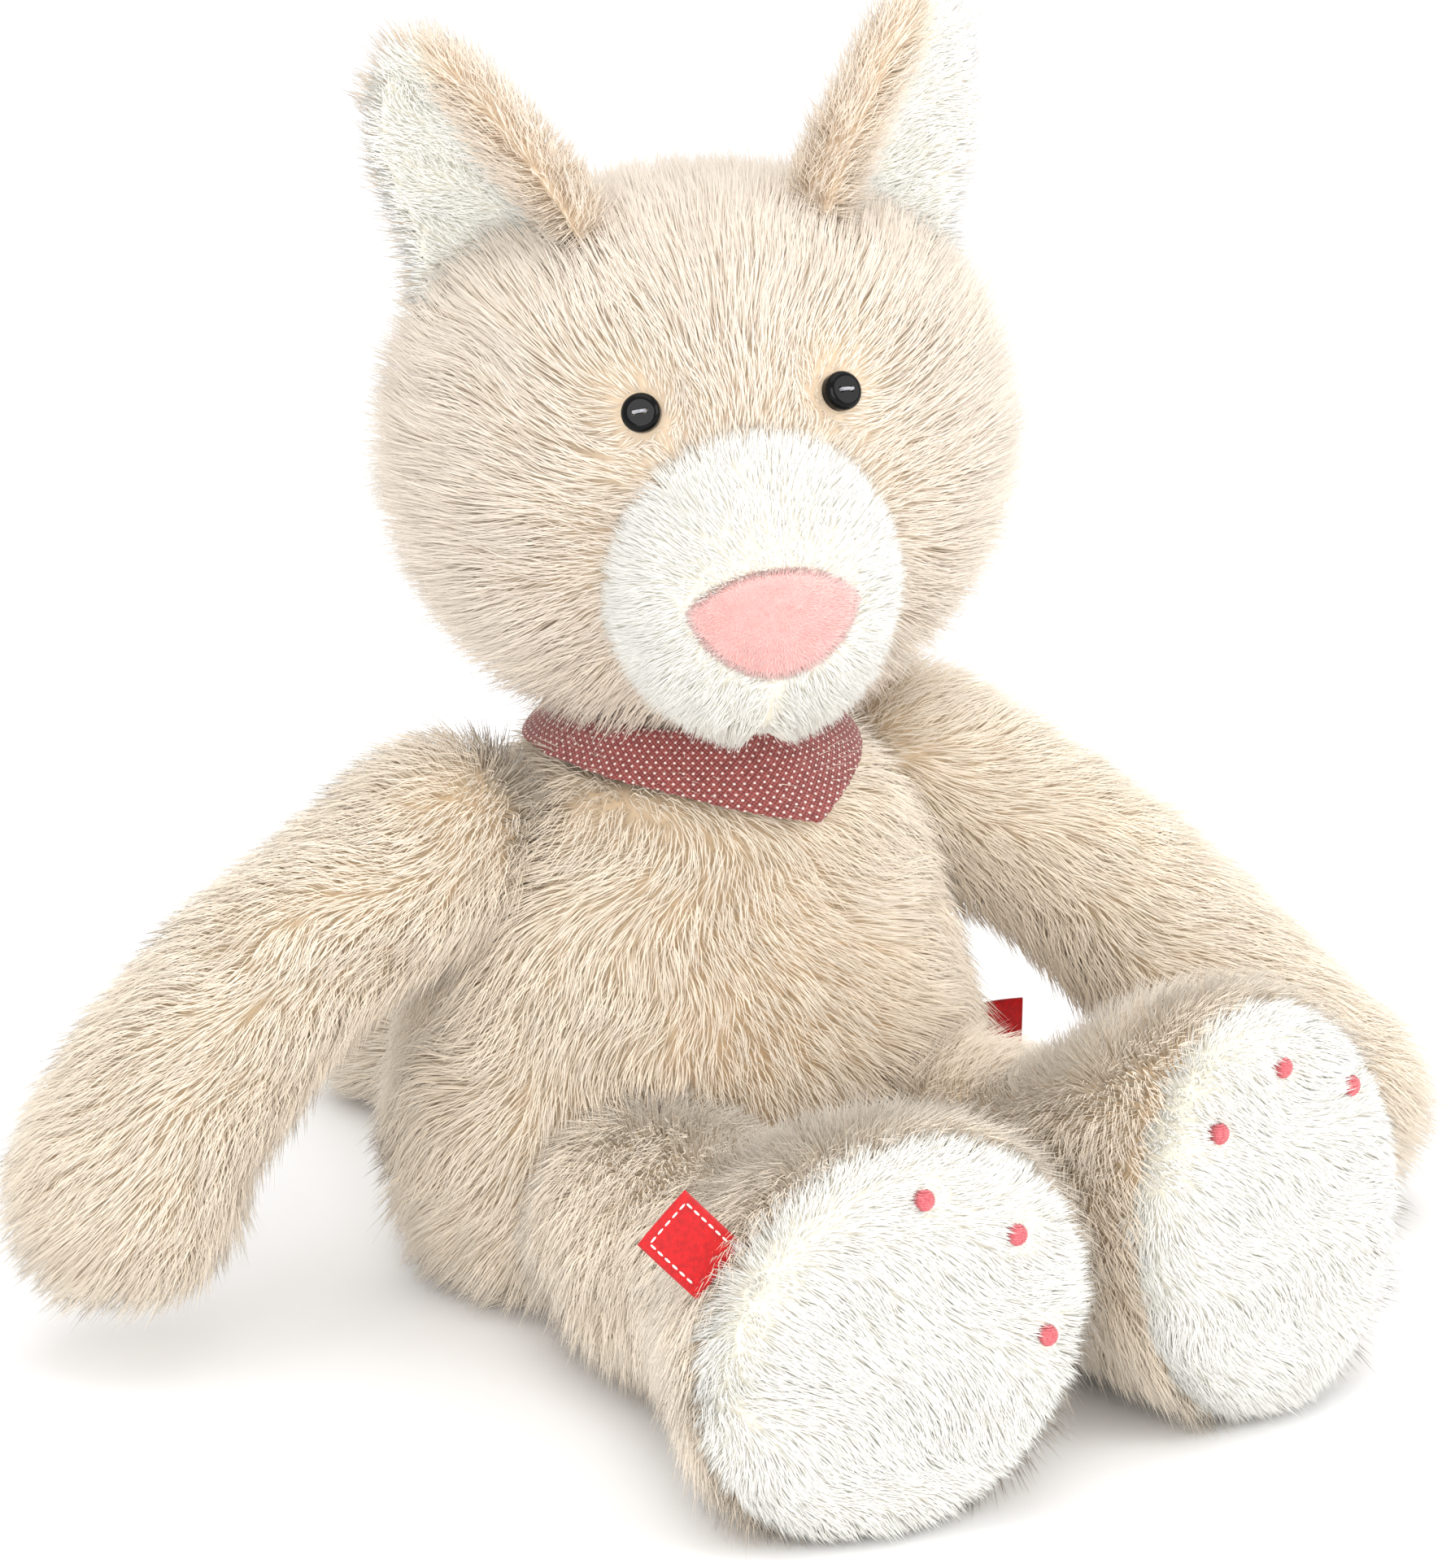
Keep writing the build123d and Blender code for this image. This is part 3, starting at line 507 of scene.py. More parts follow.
def scarf_material():
    """Knitted jersey: rows of loops, with small pale dots in staggered rows."""
    n = Nodes("dotted_jersey")
    place = n.add("SeparateXYZ")
    n.link(n.attribute("cloth_place").outputs["Vector"], place.inputs[0])
    across, down = place.outputs[0], place.outputs[1]          # both in metres along the cloth
    row = n.math("DIVIDE", down, DOT_ROW_MM * MM)
    shift = n.math("MULTIPLY", n.math("MODULO", n.math("FLOOR", row), 2.0), 0.5)
    column = n.math("ADD", n.math("DIVIDE", across, DOT_PITCH_MM * MM), shift)
    off_x = n.math("MULTIPLY", n.math("SUBTRACT", n.math("FRACT", column), 0.5), DOT_PITCH_MM)
    off_y = n.math("MULTIPLY", n.math("SUBTRACT", n.math("FRACT", row), 0.5), DOT_ROW_MM)
    reach = n.math("SQRT", n.math("ADD", n.math("POWER", off_x, 2.0), n.math("POWER", off_y, 2.0)))
    dot_share = n.ramp(reach, (0.17, (1, 1, 1, 1)), (0.30, (0, 0, 0, 1)))
    loops = n.math("MULTIPLY",
                   n.math("SINE", n.math("MULTIPLY", across, 2 * math.pi / (LOOP_MM * MM))),
                   n.math("SINE", n.math("MULTIPLY", down, 2 * math.pi / (LOOP_MM * MM))))
    yarn = n.ramp(n.math("ADD", n.math("MULTIPLY", loops, 0.35), n.noise(1.2, 3.0)),
                  (0.25, linear(0.46, 0.21, 0.20)), (0.8, linear(0.68, 0.36, 0.34)))
    n.link(n.mix(dot_share, yarn, linear(0.97, 0.90, 0.87)), n.shader.inputs["Base Color"])
    n.bump(loops, 0.6, 0.25)
    return n.finish(0.9, 0.3)


def satin_material():
    """Woven ribbon: a fine diagonal weave with a soft shine."""
    n = Nodes("woven_satin")
    place = n.add("SeparateXYZ")
    n.link(n.attribute("cloth_place").outputs["Vector"], place.inputs[0])
    slant = n.math("ADD", place.outputs[0], n.math("MULTIPLY", place.outputs[1], 2.0))
    weave = n.math("SINE", n.math("MULTIPLY", slant, 2 * math.pi / (0.5 * MM)))
    share = n.math("ADD", n.math("MULTIPLY", weave, 0.25), n.noise(0.9, 2.0))
    n.link(n.ramp(share, (0.2, linear(0.62, 0.0, 0.03)), (0.8, linear(0.86, 0.03, 0.07))),
           n.shader.inputs["Base Color"])
    n.bump(weave, 0.4, 0.08)
    return n.finish(0.42, 0.25)


def thread_material(name, colour, dark):
    return plain_material(name, colour, dark, 0.5, 0.6, 0.1, 0.3)


DOT_PITCH_MM = 1.65
DOT_ROW_MM = 1.05
LOOP_MM = 0.8
dotted_jersey = scarf_material()
woven_satin = satin_material()
white_thread = thread_material("white_thread", (0.97, 0.96, 0.94), (0.85, 0.83, 0.80))
toe_thread = thread_material("toe_thread", (0.88, 0.47, 0.49), (0.72, 0.30, 0.33))
grey_thread = thread_material("grey_thread", (0.72, 0.72, 0.74), (0.45, 0.45, 0.48))
beige_thread = thread_material("beige_thread", (0.88, 0.80, 0.68), (0.74, 0.64, 0.50))
black_button = plain_material("black_button", (0.012, 0.012, 0.013), (0.006, 0.006, 0.007), 2.0, 0.10, 0.004, 0.0, 0.1)
black_button.node_tree.nodes["Principled BSDF"].inputs["Specular IOR Level"].default_value = 0.12
fibre = plain_material("fibre_fill", (0.96, 0.96, 0.95), (0.82, 0.82, 0.80), 2.5, 0.95, 0.8, 0.4)
cotton = plain_material("pouch_cotton_weave", (0.92, 0.90, 0.84), (0.80, 0.77, 0.70), 0.8, 0.9, 0.2, 0.3)
pellet = plain_material("pellet_plastic_grain", (0.93, 0.94, 0.95), (0.80, 0.82, 0.84), 1.5, 0.35, 0.1)

KEPT_NODES = {
    "eye_left": black_button, "eye_right": black_button,
    "eye_thread_left": grey_thread, "eye_thread_right": grey_thread,
    "closing_stitches": beige_thread, "pellet_pouch": cotton, "pellets": pellet,
}
for node_name, node in frame["nodes"].items():
    finish = KEPT_NODES.get(node_name, fibre if "stuffing" in node_name else None)
    if finish is not None:
        if not node.material_slots:
            node.data.materials.append(finish)
        for node_slot in node.material_slots:
            node_slot.material = finish


# ---- pile on every plush panel ----------------------------------------------------------------------

def away_from(point):
    """Comb field that runs away from a point, over the surface."""
    def field(roots, normals):
        return unit(roots - np.array(point))
    return field


def hanging(point):
    """Away from a point, and drooping down the sides."""
    def field(roots, normals):
        return unit(unit(roots - np.array(point)) - UP_ROW * 0.7)
    return field


def toward_middle(point, level_mm, up_mm):
    """A point moved level towards the toy's upright axis, and up."""
    inward = Vector((-point.x, -point.y, 0)).normalized()
    return point + inward * level_mm * MM + UP * up_mm * MM


def brushed(sole_middle, side):
    """Sole pile runs one way over the foot, down and to the toy's left."""
    return away_from(sole_middle + Vector((-0.05, 0.0, 0.03 if side == "right" else 0.06)))


HEAD_PILE = dict(length=13.0, lean=57, per_mm2=2.1, width=0.29, lock_mm=3.2, gather=0.24, swirl=0.25,
                 stray=0.15, uneven=0.16, ruffle=0.10)
TORSO_PILE = dict(crisp=0.28, length=11.0, lean=60, per_mm2=1.9, width=0.31, lock_mm=3.4, gather=0.32, swirl=0.6,
                  swirl_mm=24, stray=0.2, uneven=0.2, ruffle=0.16)
LIMB_PILE = dict(crisp=0.30, length=10.0, lean=57, per_mm2=2.1, width=0.29, lock_mm=3.0, gather=0.26, swirl=0.3, stray=0.17,
                 uneven=0.18, ruffle=0.13)
EAR_PILE = dict(crisp=0.7, length=8.0, lean=52, per_mm2=3.0, width=0.27, lock_mm=2.2, gather=0.25, swirl=0.3, uneven=0.18)
LINING_PILE = dict(crisp=0.4, length=4.8, lean=52, per_mm2=4.2, width=0.27, lock_mm=2.4, gather=0.25, swirl=0.5, uneven=0.2)
MUZZLE_PILE = dict(length=4.4, lean=54, per_mm2=4.6, width=0.25, lock_mm=2.4, gather=0.28, swirl=0.45, uneven=0.2)
SOLE_PILE = dict(length=5.0, lean=54, per_mm2=4.4, width=0.27, lock_mm=2.6, gather=0.32, swirl=0.7, swirl_mm=18,
                 uneven=0.2, ruffle=0.16)
NOSE_PILE = dict(length=1.4, lean=40, per_mm2=10.0, width=0.18, lock_mm=1.4, gather=0.1, swirl=0.4, uneven=0.15)


def head_comb(roots, normals):
    flow = unit(roots - np.array(MUZZLE_MIDDLE))
    behind = smoothstep((roots - np.array(HEAD_MIDDLE)) @ -np.array(HEAD_AHEAD), 0.0, 0.04)[:, None]
    flow = flow * (1 - 0.8 * behind) - UP_ROW * 0.8 * behind
    for eye in EYES.values():
        gap = roots - np.array(eye)
        near = 1 - smoothstep(np.linalg.norm(gap, axis=1), 0.004, 0.012)
        flow = flow + unit(gap) * near[:, None] * 1.2
    return unit(flow)


def head_lengths(roots):
    share = np.ones(len(roots))
    for eye in EYES.values():
        share = share * (0.34 + 0.66 * smoothstep(np.linalg.norm(roots - np.array(eye), axis=1), 0.004, 0.017))
    beside_muzzle = smoothstep(np.linalg.norm(roots - np.array(MUZZLE_MIDDLE), axis=1), 0.026, 0.042)
    crown = smoothstep(roots[:, 2], HEAD_MIDDLE.z + 0.022, HEAD_MIDDLE.z + 0.042)
    return share * (0.55 + 0.45 * beside_muzzle) * (1 - 0.25 * crown)


def eyes_clear(roots):
    gaps = [np.linalg.norm(roots - np.array(eye), axis=1) for eye in EYES.values()]
    return np.min(gaps, axis=0) > 0.0042


def torso_comb(roots, normals):
    """Down and out to the sides; the middle of the belly is ruffled upright."""
    flow = np.zeros_like(roots)
    flow[:, 2] = -0.9
    flow[:, 0] = roots[:, 0] * 16
    off_belly = np.hypot(roots[:, 0] / 0.034, (roots[:, 2] - 0.052) / 0.040)
    front = roots[:, 1] < 0
    strength = np.where(front, 0.45 + 0.55 * smoothstep(off_belly, 0.4, 1.1), 1.0)
    return unit(flow) * strength[:, None]


def muzzle_comb(roots, normals):
    """Out from the nose, and parted along the seam below it."""
    flow = unit(roots - np.array(NOSE))
    sideways = (roots - np.array(NOSE)) @ np.array(HEAD_LEFT)
    below = smoothstep(NOSE.z - roots[:, 2], 0.002, 0.008)
    parting = np.exp(-(sideways / 0.0035) ** 2) * below
    return unit(flow + np.sign(sideways)[:, None] * np.array(HEAD_LEFT) * parting[:, None] * 1.5)


def muzzle_lengths(roots):
    sideways = np.abs((roots - np.array(NOSE)) @ np.array(HEAD_LEFT))
    below = smoothstep(NOSE.z - roots[:, 2], 0.002, 0.008)
    near_nose = smoothstep(np.linalg.norm(roots - np.array(NOSE), axis=1), 0.010, 0.022)
    return (1 - 0.6 * below * np.exp(-(sideways / 0.0016) ** 2)) * (0.7 + 0.3 * near_nose)


def skin_tree(skin):
    return BVHTree.FromPolygons([tuple(p) for p in skin.points], skin.faces)


def outside(*skins, depth_mm):
    """Roots that aren't buried deeper than this in the other skins."""
    trees = [skin_tree(skin) for skin in skins]

    def keep(roots):
        kept = np.ones(len(roots), bool)
        for tree in trees:
            for place, root in enumerate(roots):
                spot, normal, _, _ = tree.find_nearest(root)
                if (Vector(root) - spot).dot(normal) < -depth_mm * MM:
                    kept[place] = False
        return kept
    return keep


def both(*tests):
    def keep(roots):
        kept = np.ones(len(roots), bool)
        for test in tests:
            kept &= test(roots)
        return kept
    return keep


def cover(body, skin_nodes, inner_nodes, piles, voxel=1.9, rounds=8, reshape=None, wrap=None):
    """Fuses the CAD nodes of a body into one skin and gives each panel its own piece with its pile.

    piles maps a panel to (piece name, pile, comb, material, slot); the slot is not used.  wrap says which faces the
    first panel takes over from the others, where its fabric is turned round an edge."""
    mesh = fused_skin(list(skin_nodes) + list(inner_nodes), voxel, rounds)
    owner = nearest_panel(mesh, list(skin_nodes))
    skin = Skin(mesh, reshape)
    if wrap is not None:
        owner[wrap(np.array([p.center for p in mesh.polygons]))] = 0
    for number, node in enumerate(skin_nodes):
        piece_name, pile, comb, material, slot = piles[node]
        obj = pile_object(piece_name, skin, np.flatnonzero(owner == number), pile, comb, material)
        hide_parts(node)
        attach(obj, body)
    bpy.data.meshes.remove(mesh)
    return skin


muzzle = cover("head", ["muzzle_left_panel", "muzzle_right_panel"], ["muzzle_stuffing"], {
    f"muzzle_{side}_panel": (f"muzzle_{side}_plush", dict(MUZZLE_PILE, length_map=muzzle_lengths), muzzle_comb,
                             cream_plush, "cream_plush")
    for side in ("left", "right")}, voxel=1.3)

head_keep = both(eyes_clear, outside(muzzle, depth_mm=0.5))
head = cover("head", ["head_left_panel", "head_right_panel", "head_gusset"], ["head_stuffing"], {
    node: (node.replace("panel", "plush").replace("gusset", "gusset_plush"),
           dict(HEAD_PILE, length_map=head_lengths, keep=head_keep), head_comb, face_plush, "beige_plush")
    for node in ("head_left_panel", "head_right_panel", "head_gusset")})

nose = cover("head", ["nose_panel"], [], {
    "nose_panel": ("nose_plush", NOSE_PILE, away_from(NOSE), pink_plush, "pink_plush")}, voxel=0.6, rounds=3)

EAR_WRAP = 4.0 * MM        # how far from the ear's middle the back fabric reaches round the inner edge


def inner_edge(side):
    """Faces of an ear nearer to the crown, where the back fabric is turned to the front."""
    hinge = joint(f"ear_{side}_fold")
    across = np.array(hinge["axis"]) * (-1 if side == "left" else 1)
    root = np.array(hinge["pos_m"])
    tip = np.array(corner_high(f"ear_back_{side}"))[2]

    def chosen(centres):
        share = np.clip((centres[:, 2] - root[2]) / (tip - root[2]), 0, 1)
        return (centres - root) @ across > EAR_WRAP + 5 * MM * (1 - share)
    return chosen


def plump(side):
    """Ear fabric is soft: the edges swell a little and the foot of the ear sinks into the head's pile."""
    root = np.array(pivot(f"ear_{side}_fold"))

    def moved(points):
        middle = points.mean(axis=0)
        low = 1 - smoothstep((points - root)[:, 2], -0.004, 0.014)
        sunk = points + (np.array(HEAD_MIDDLE) - points) * 0.09 * low[:, None]
        return sunk + (sunk - middle) * 0.03
    return moved


for side in ("left", "right"):
    ear_root = toward_middle(pivot(f"ear_{side}_fold"), 15, -12)
    cover(f"ear_{side}", [f"ear_back_{side}", f"ear_lining_{side}"], [], {
        f"ear_back_{side}": (f"ear_back_{side}_plush", EAR_PILE, away_from(ear_root), face_plush, "beige_plush"),
        f"ear_lining_{side}": (f"ear_lining_{side}_plush", LINING_PILE, away_from(ear_root), cream_plush,
                               "cream_plush")}, voxel=1.1, rounds=3, reshape=plump(side), wrap=inner_edge(side))

torso_panels = ["torso_front_panel", "torso_back_left_panel", "torso_back_right_panel", "seat_panel"]
torso = cover("torso", torso_panels, ["torso_stuffing"], {
    node: (node.replace("panel", "plush"), TORSO_PILE, torso_comb, beige_plush, "beige_plush")
    for node in torso_panels})

NECK_BAND = 15.0 * MM      # how far above and below its joint the neck can show
NECK_SWELL = 0.04          # the neck fabric lies this share outside the stuffing


def neck_band(roots):
    """The part of the neck that shows between the scarf and the head when the head nods."""
    return np.abs(roots[:, 2] - pivot("neck_turn").z) < NECK_BAND


def round_neck(points):
    return points + (points - np.array(pivot("neck_turn"))) * NECK_SWELL


neck_mesh = fused_skin(["neck_stuffing"], 1.9, 8)
neck_plush = pile_object("neck_plush", Skin(neck_mesh, round_neck), np.arange(len(neck_mesh.polygons)),
                         dict(TORSO_PILE, length=6.0, keep=neck_band), torso_comb, beige_plush)
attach(neck_plush, "neck")
bpy.data.meshes.remove(neck_mesh)

TOE_DOT_RADIUS = 1.75 * MM


def islands(node):
    """Corner points of each separate solid in a CAD node."""
    mesh = bmesh.new()
    mesh.from_mesh(frame["nodes"][node].data)
    bmesh.ops.remove_doubles(mesh, verts=mesh.verts, dist=0.01 * MM)
    left = set(mesh.verts)
    groups = []
    while left:
        stack = [left.pop()]
        group = []
        while stack:
            vertex = stack.pop()
            group.append(vertex.co.copy())
            for edge in vertex.link_edges:
                other = edge.other_vert(vertex)
                if other in left:
                    left.remove(other)
                    stack.append(other)
        groups.append(np.array(group))
    mesh.free()
    return groups


def toe_dots(side):
    """Middle of each toe dot of a foot, and the way its sole faces."""
    groups = islands(f"toe_stitches_{side}")
    middles = [group.mean(axis=0) for group in groups]
    out = np.cross(middles[1] - middles[0], middles[2] - middles[0])
    out = out / np.linalg.norm(out)
    if out[1] > 0:
        out = -out
    return middles, out


def clear_of(dots, radius):
    def keep(roots):
        return np.min([np.linalg.norm(roots - middle, axis=1) for middle in dots[0]], axis=0) > radius
    return keep


def dimples(dots):
    def lengths(roots):
        gap = np.min([np.linalg.norm(roots - middle, axis=1) for middle in dots[0]], axis=0)
        return 0.3 + 0.7 * smoothstep(gap, 0.0015, 0.0065)
    return lengths


def tube(points, radius, sides=6):
    """Corners and faces of a closed round thread through some points."""
    points = np.array(points)
    along = unit(np.gradient(points, axis=0))
    first = unit(np.cross(along, along[:, [1, 2, 0]] + 0.31))
    second = np.cross(along, first)
    taper = np.ones(len(points))
    taper[0] = taper[-1] = 0.45
    rings = []
    for corner in range(sides):
        angle = 2 * math.pi * corner / sides
        rings.append(points + (first * math.cos(angle) + second * math.sin(angle)) * radius * taper[:, None])
    corners = np.stack(rings, axis=1).reshape(-1, 3)
    faces = []
    for ring in range(len(points) - 1):
        for corner in range(sides):
            nxt = (corner + 1) % sides
            faces.append((ring * sides + corner, ring * sides + nxt, (ring + 1) * sides + nxt,
                          (ring + 1) * sides + corner))
    faces.append(tuple(range(sides))[::-1])
    faces.append(tuple(range((len(points) - 1) * sides, len(points) * sides)))
    return corners.tolist(), faces


def piece(name, parts, node, body, places=None):
    """One object from (corners, faces, material) parts."""
    corners, faces, materials, picks = [], [], [], []
    for part_corners, part_faces, material in parts:
        if material not in materials:
            materials.append(material)
        offset = len(corners)
        corners += [tuple(c) for c in part_corners]
        faces += [tuple(i + offset for i in face) for face in part_faces]
        picks += [materials.index(material)] * len(part_faces)
    mesh = bpy.data.meshes.new(name)
    mesh.from_pydata(corners, [], faces)
    for material in materials:
        mesh.materials.append(material)
    mesh.polygons.foreach_set("material_index", picks)
    mesh.polygons.foreach_set("use_smooth", [True] * len(faces))
    if places is not None:
        filled = np.zeros((len(corners), 3), np.float32)
        filled[:len(places)] = places
        mesh.attributes.new("cloth_place", "FLOAT_VECTOR", "POINT").data.foreach_set("vector", filled.ravel())
    obj = bpy.data.objects.new(name, mesh)
    bpy.context.scene.collection.objects.link(obj)
    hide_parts(node)
    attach(obj, body)
    return obj


DOT_THREADS = 9
DOT_DOME = 2.1 * MM        # height of the embroidery over the sole's fabric


def embroider(side, dots):
    """Each toe dot as a pad of satin stitch: side by side threads over a small dome."""
    middles, out = dots
    across = np.cross(out, (0, 0, 1))
    across = across / np.linalg.norm(across)
    upright = np.cross(across, out)
    pitch = 2 * TOE_DOT_RADIUS / DOT_THREADS
    parts = []
    for middle in middles:
        for number in range(DOT_THREADS):
            offset = (number + 0.5) * pitch - TOE_DOT_RADIUS
            half = math.sqrt(TOE_DOT_RADIUS ** 2 - offset ** 2)
            line = []
            for share in np.linspace(-1, 1, 11):
                spot = half * share
                far = (spot ** 2 + offset ** 2) / TOE_DOT_RADIUS ** 2
                lift = DOT_DOME * (0.35 + 0.65 * math.sqrt(max(0.0, 1 - far * 0.98)))
                lift = lift if abs(share) < 0.99 else 0.0
                line.append(middle + upright * offset + across * spot + out * lift)
            corners, faces = tube(line, pitch * 0.62)
            parts.append((corners, faces, toe_thread))
        rings = []
        for level, width in ((-0.3, 0.92), (0.55, 0.9), (0.85, 0.6)):
            for step in range(12):
                angle = 2 * math.pi * step / 12
                spread = across * math.cos(angle) + upright * math.sin(angle)
                rings.append(middle + spread * TOE_DOT_RADIUS * width + out * DOT_DOME * level)
        faces = [tuple(range(12))[::-1], tuple(range(24, 36))]
        for level in (0, 12):
            for step in range(12):
                nxt = (step + 1) % 12
                faces.append((level + step, level + nxt, level + 12 + nxt, level + 12 + step))
        parts.append((rings, faces, toe_thread))
    piece(f"toe_embroidery_{side}", parts, f"toe_stitches_{side}", f"leg_{side}")


for side in ("left", "right"):
    shoulder = pivot(f"shoulder_{side}_lift")
    cover(f"arm_{side}", [f"arm_front_{side}", f"arm_back_{side}"], [f"arm_stuffing_{side}"], {
        f"arm_{part}_{side}": (f"arm_{part}_{side}_plush", dict(LIMB_PILE, keep=outside(torso, depth_mm=5)),
                               away_from(toward_middle(shoulder, 30, 8)), beige_plush, "beige_plush")
        for part in ("front", "back")})
    hip = pivot(f"hip_{side}_swing")
    sole_middle = centre(f"sole_{side}")
    dots = toe_dots(side)
    sole_pile = dict(SOLE_PILE, length_map=dimples(dots), keep=clear_of(dots, TOE_DOT_RADIUS * 0.9))
    limb = (dict(LIMB_PILE, keep=outside(torso, depth_mm=5)), hanging(toward_middle(hip, 45, 0)), beige_plush,
            "beige_plush")
    cover(f"leg_{side}", [f"leg_outer_{side}", f"leg_inner_{side}", f"sole_{side}"], [f"leg_stuffing_{side}"], {
        f"leg_outer_{side}": (f"leg_outer_{side}_plush",) + limb,
        f"leg_inner_{side}": (f"leg_inner_{side}_plush",) + limb,
        f"sole_{side}": (f"sole_{side}_plush", sole_pile, brushed(sole_middle, side), cream_plush, "cream_plush")},
        rounds=24)
    embroider(side, dots)

tail_root = toward_middle(pivot("tail_wag"), 25, 0)
cover("tail", ["tail_left_panel", "tail_right_panel"], ["tail_stuffing"], {
    f"tail_{side}_panel": (f"tail_{side}_plush", LIMB_PILE, away_from(tail_root), beige_plush, "beige_plush")
    for side in ("left", "right")})


# ---- scarf ------------------------------------------------------------------------------------------

def cloth_from(node, name, voxel, folds):
    """The CAD cloth, remeshed finely, with soft folds and its own place on the cloth at every corner."""
    mesh = fused_skin([node], voxel, 2)
    points = Skin(mesh).points.copy()
    angle = np.arctan2(points[:, 0], -points[:, 1])
    radius = np.hypot(points[:, 0], points[:, 1])
    top = corner_high(node).z
    down = (top - points[:, 2]) * 1.27
    middle_radius = float(np.median(radius))
    bulge = folds * MM * (np.sin(angle * 3 + 0.8) * 0.5 + np.sin(angle * 7 + down * 180) * 0.35
                          + np.sin(angle * 1.5 - down * 260 + 2.0) * 0.4) * smoothstep(down, 0.0, 0.008)
    points[:, :2] *= (1 + bulge / radius)[:, None]
    faces = [tuple(p.vertices) for p in mesh.polygons]
    places = np.stack([angle * middle_radius, down, np.zeros(len(points))], axis=1)
    piece(name, [(points.tolist(), faces, dotted_jersey)], node, "scarf", places)
    bpy.data.meshes.remove(mesh)


cloth_from("scarf_cloth", "scarf_jersey", 0.55, 1.0)
cloth_from("scarf_knot", "scarf_jersey_knot", 0.6, 0.0)


# ---- labels -----------------------------------------------------------------------------------------

def ribbon(node, name, hinge, body, bend_mm, stitched):
    """A label as a folded ribbon, a little bent, closed at its fold; a row of plain stitches if asked."""
    corners = np.array([v.co for v in frame["nodes"][node].data.vertices])
    width_way = np.array(joint(hinge)["axis"], float)
    width_way /= np.linalg.norm(width_way)
    root = np.array(joint(hinge)["pos_m"], float)
    middle = (corners.min(axis=0) + corners.max(axis=0)) / 2
    reach_way = middle - root
    reach_way -= width_way * reach_way.dot(width_way)
    reach_way /= np.linalg.norm(reach_way)
    face_way = np.cross(reach_way, width_way)
    low, high = ((corners - middle) @ reach_way).min(), ((corners - middle) @ reach_way).max()
    half_width = np.abs((corners - middle) @ width_way).max()
    thick = np.ptp((corners - middle) @ face_way)

    def spot(reach, across, height):
        share = (reach - low) / (high - low)
        bent = bend_mm * MM * (share ** 2 + 0.25 * math.sin(share * 5 + across / half_width * 1.5))
        return middle + reach_way * reach + width_way * across + face_way * (height + bent)

    profile = [(reach, thick / 2) for reach in np.linspace(low, high - thick / 2, 18)]
    profile += [(high - thick / 2 + math.cos(a) * thick / 2, math.sin(a) * thick / 2)
                for a in np.linspace(1.2, -1.2, 5)]
    profile += [(reach, -thick / 2) for reach in np.linspace(high - thick / 2, low, 18)]
    points, places, faces = [], [], []
    columns = np.linspace(-half_width, half_width, 20)
    for across in columns:
        for reach, height in profile:
            points.append(spot(reach, across, height * (1 - 0.5 * (abs(across) / half_width) ** 8)))
            places.append((reach, across, 0.0))
    size = len(profile)
    for column in range(len(columns) - 1):
        for step in range(size):
            nxt = (step + 1) % size
            faces.append((column * size + step, column * size + nxt, (column + 1) * size + nxt,
                          (column + 1) * size + step))
    faces.append(tuple(range(size))[::-1])
    faces.append(tuple(range((len(columns) - 1) * size, len(columns) * size)))
    parts = [(points, faces, woven_satin)]
    if stitched:
        inset = 1.5 * MM
        left, right = -half_width + inset, half_width - inset
        near, far = low + 2.5 * MM, high - inset
        border = [(near, left), (far, left), (far, right), (near, right)]
        for (r0, a0), (r1, a1) in zip(border, border[1:]):
            count = max(2, int(math.hypot(r1 - r0, a1 - a0) / (1.7 * MM)))
            for number in range(count):
                for face_side in (1, -1):
                    line = []
                    for share in np.linspace(number + 0.15, number + 0.85, 5) / count:
                        line.append(spot(r0 + (r1 - r0) * share, a0 + (a1 - a0) * share,
                                         face_side * (thick / 2 + 0.05 * MM)))
                    stitch, stitch_faces = tube(line, 0.2 * MM)
                    parts.append((stitch, stitch_faces, white_thread))
    piece(name, parts, node, body, places)


ribbon("flag_label", "flag_ribbon", "flag_label_flap", "flag", 0.6, True)
ribbon("side_label", "side_ribbon", "side_label_flap", "side_tag", 1.2, False)


# ---- floor, light, camera ---------------------------------------------------------------------------

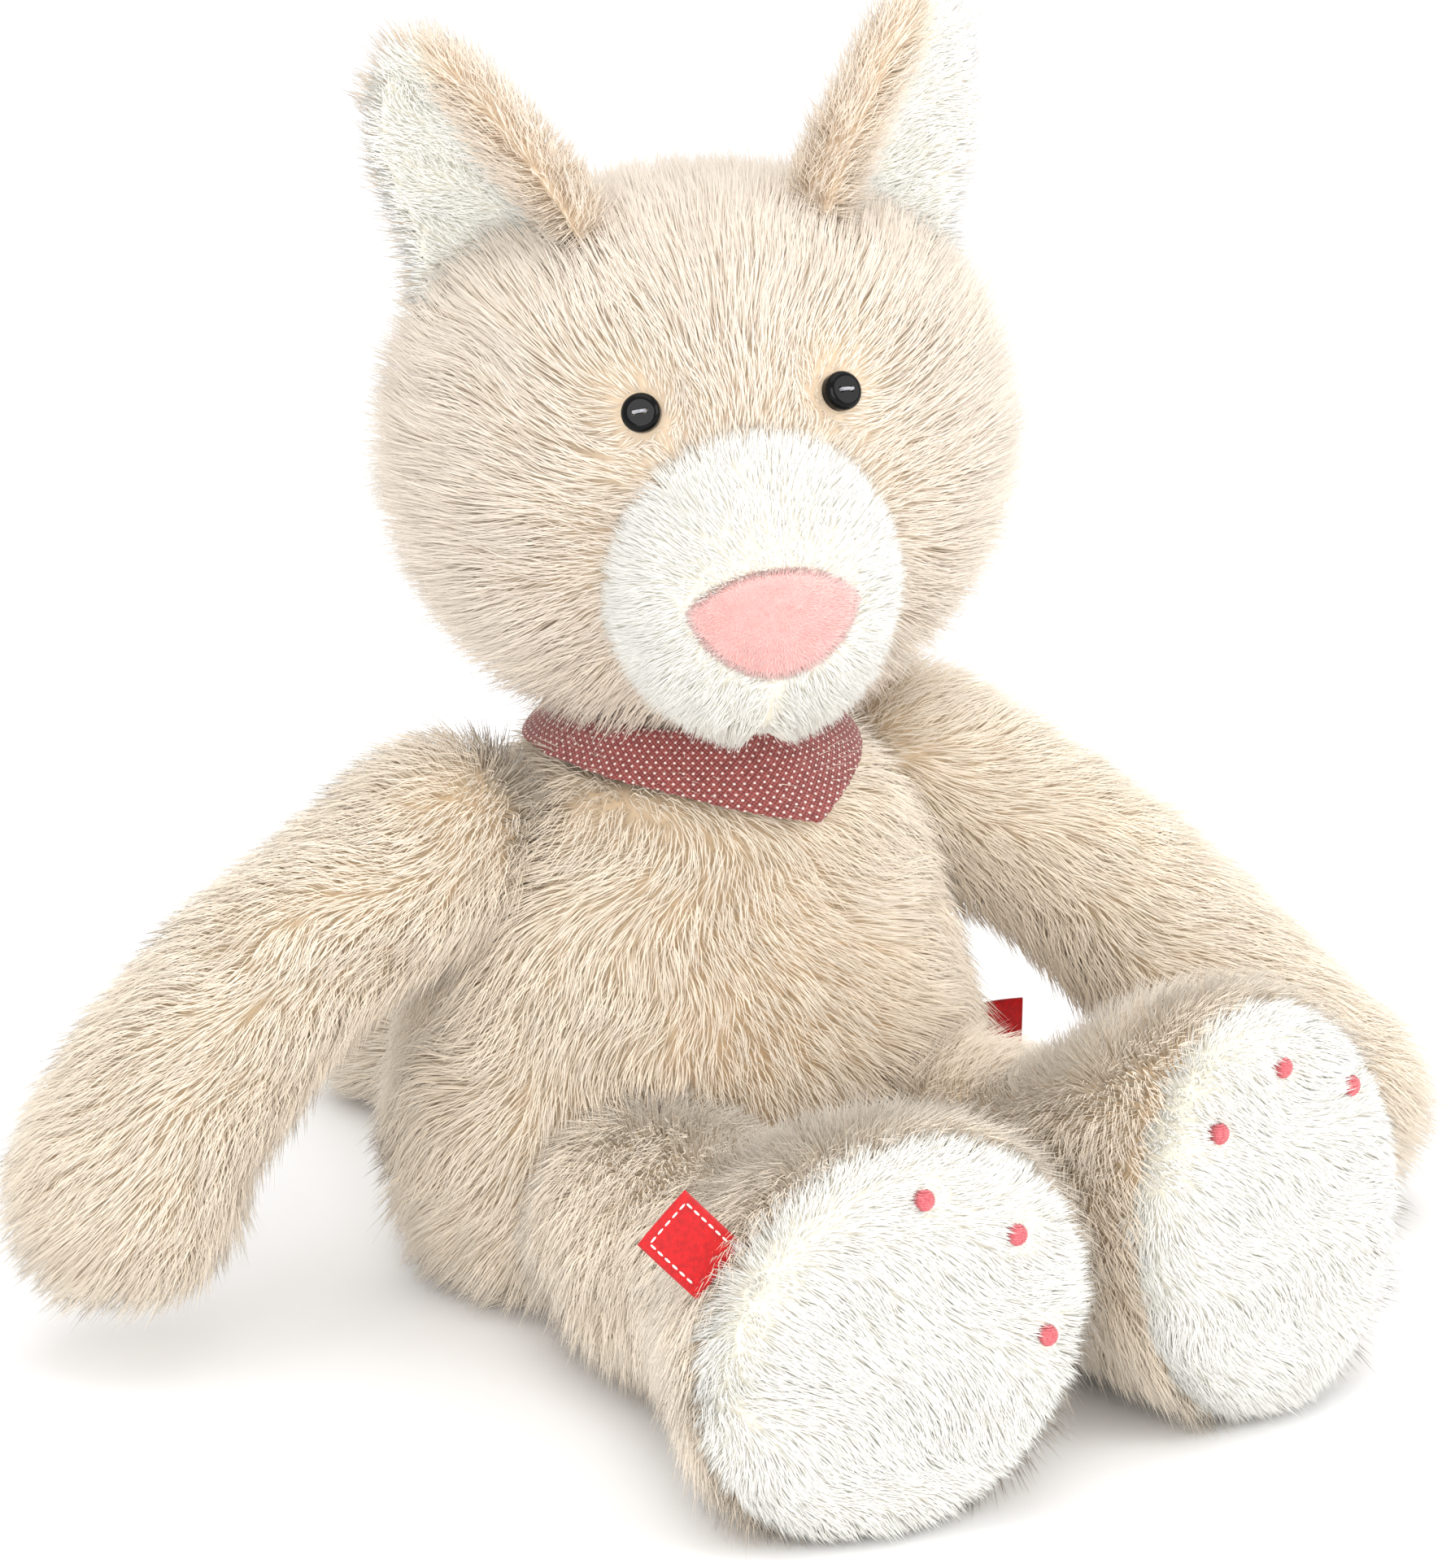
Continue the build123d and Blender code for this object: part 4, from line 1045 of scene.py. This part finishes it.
def stage():
    floor_mesh = bpy.data.meshes.new("floor")
    reach = 3.0
    floor_mesh.from_pydata([(-reach, -reach, 0), (reach, -reach, 0), (reach, reach, 0), (-reach, reach, 0)], [],
                           [(0, 1, 2, 3)])
    floor = bpy.data.objects.new("floor", floor_mesh)
    bpy.context.scene.collection.objects.link(floor)
    paper = Nodes("white_paper")
    paper.link(paper.ramp(paper.noise(300), (0.0, (0.93, 0.93, 0.93, 1)), (1.0, (0.95, 0.95, 0.95, 1))),
               paper.shader.inputs["Base Color"])
    floor_mesh.materials.append(paper.finish(0.9))

    world = bpy.data.worlds.new("studio")
    bpy.context.scene.world = world
    world.use_nodes = True
    world.node_tree.nodes["Background"].inputs[0].default_value = (1.0, 1.0, 1.0, 1.0)
    world.node_tree.nodes["Background"].inputs[1].default_value = 1.1

    target = Vector((0, 0, 0.09))
    for name, place, size, power in (("front", (-0.9, -1.35, 0.75), 1.1, 13.0), ("right", (0.9, -1.2, 0.8), 1.0, 8.0),
                                     ("top", (-0.1, -0.1, 1.7), 1.3, 6.0)):
        lamp = bpy.data.lights.new(name, "AREA")
        lamp.size = size
        lamp.energy = power
        obj = bpy.data.objects.new(name, lamp)
        obj.location = place
        obj.rotation_euler = (target - obj.location).to_track_quat("-Z", "Y").to_euler()
        bpy.context.scene.collection.objects.link(obj)


def camera(azimuth, elevation, distance, target, lens):
    a, e = math.radians(azimuth), math.radians(elevation)
    ahead = Vector((math.sin(a) * math.cos(e), -math.cos(a) * math.cos(e), math.sin(e)))
    data = bpy.data.cameras.new("camera")
    data.sensor_width = 36.0
    data.sensor_fit = "HORIZONTAL"
    data.lens = lens
    data.clip_start = 0.05
    obj = bpy.data.objects.new("camera", data)
    obj.location = Vector(target) + ahead * distance
    obj.rotation_euler = (-ahead).to_track_quat("-Z", "Y").to_euler()
    bpy.context.scene.collection.objects.link(obj)
    bpy.context.scene.camera = obj


stage()
camera(-30.0, 17.0, 1.2, (0.006, -0.0035, 0.090), 161.0)
bpy.context.scene.view_settings.view_transform = "Standard"
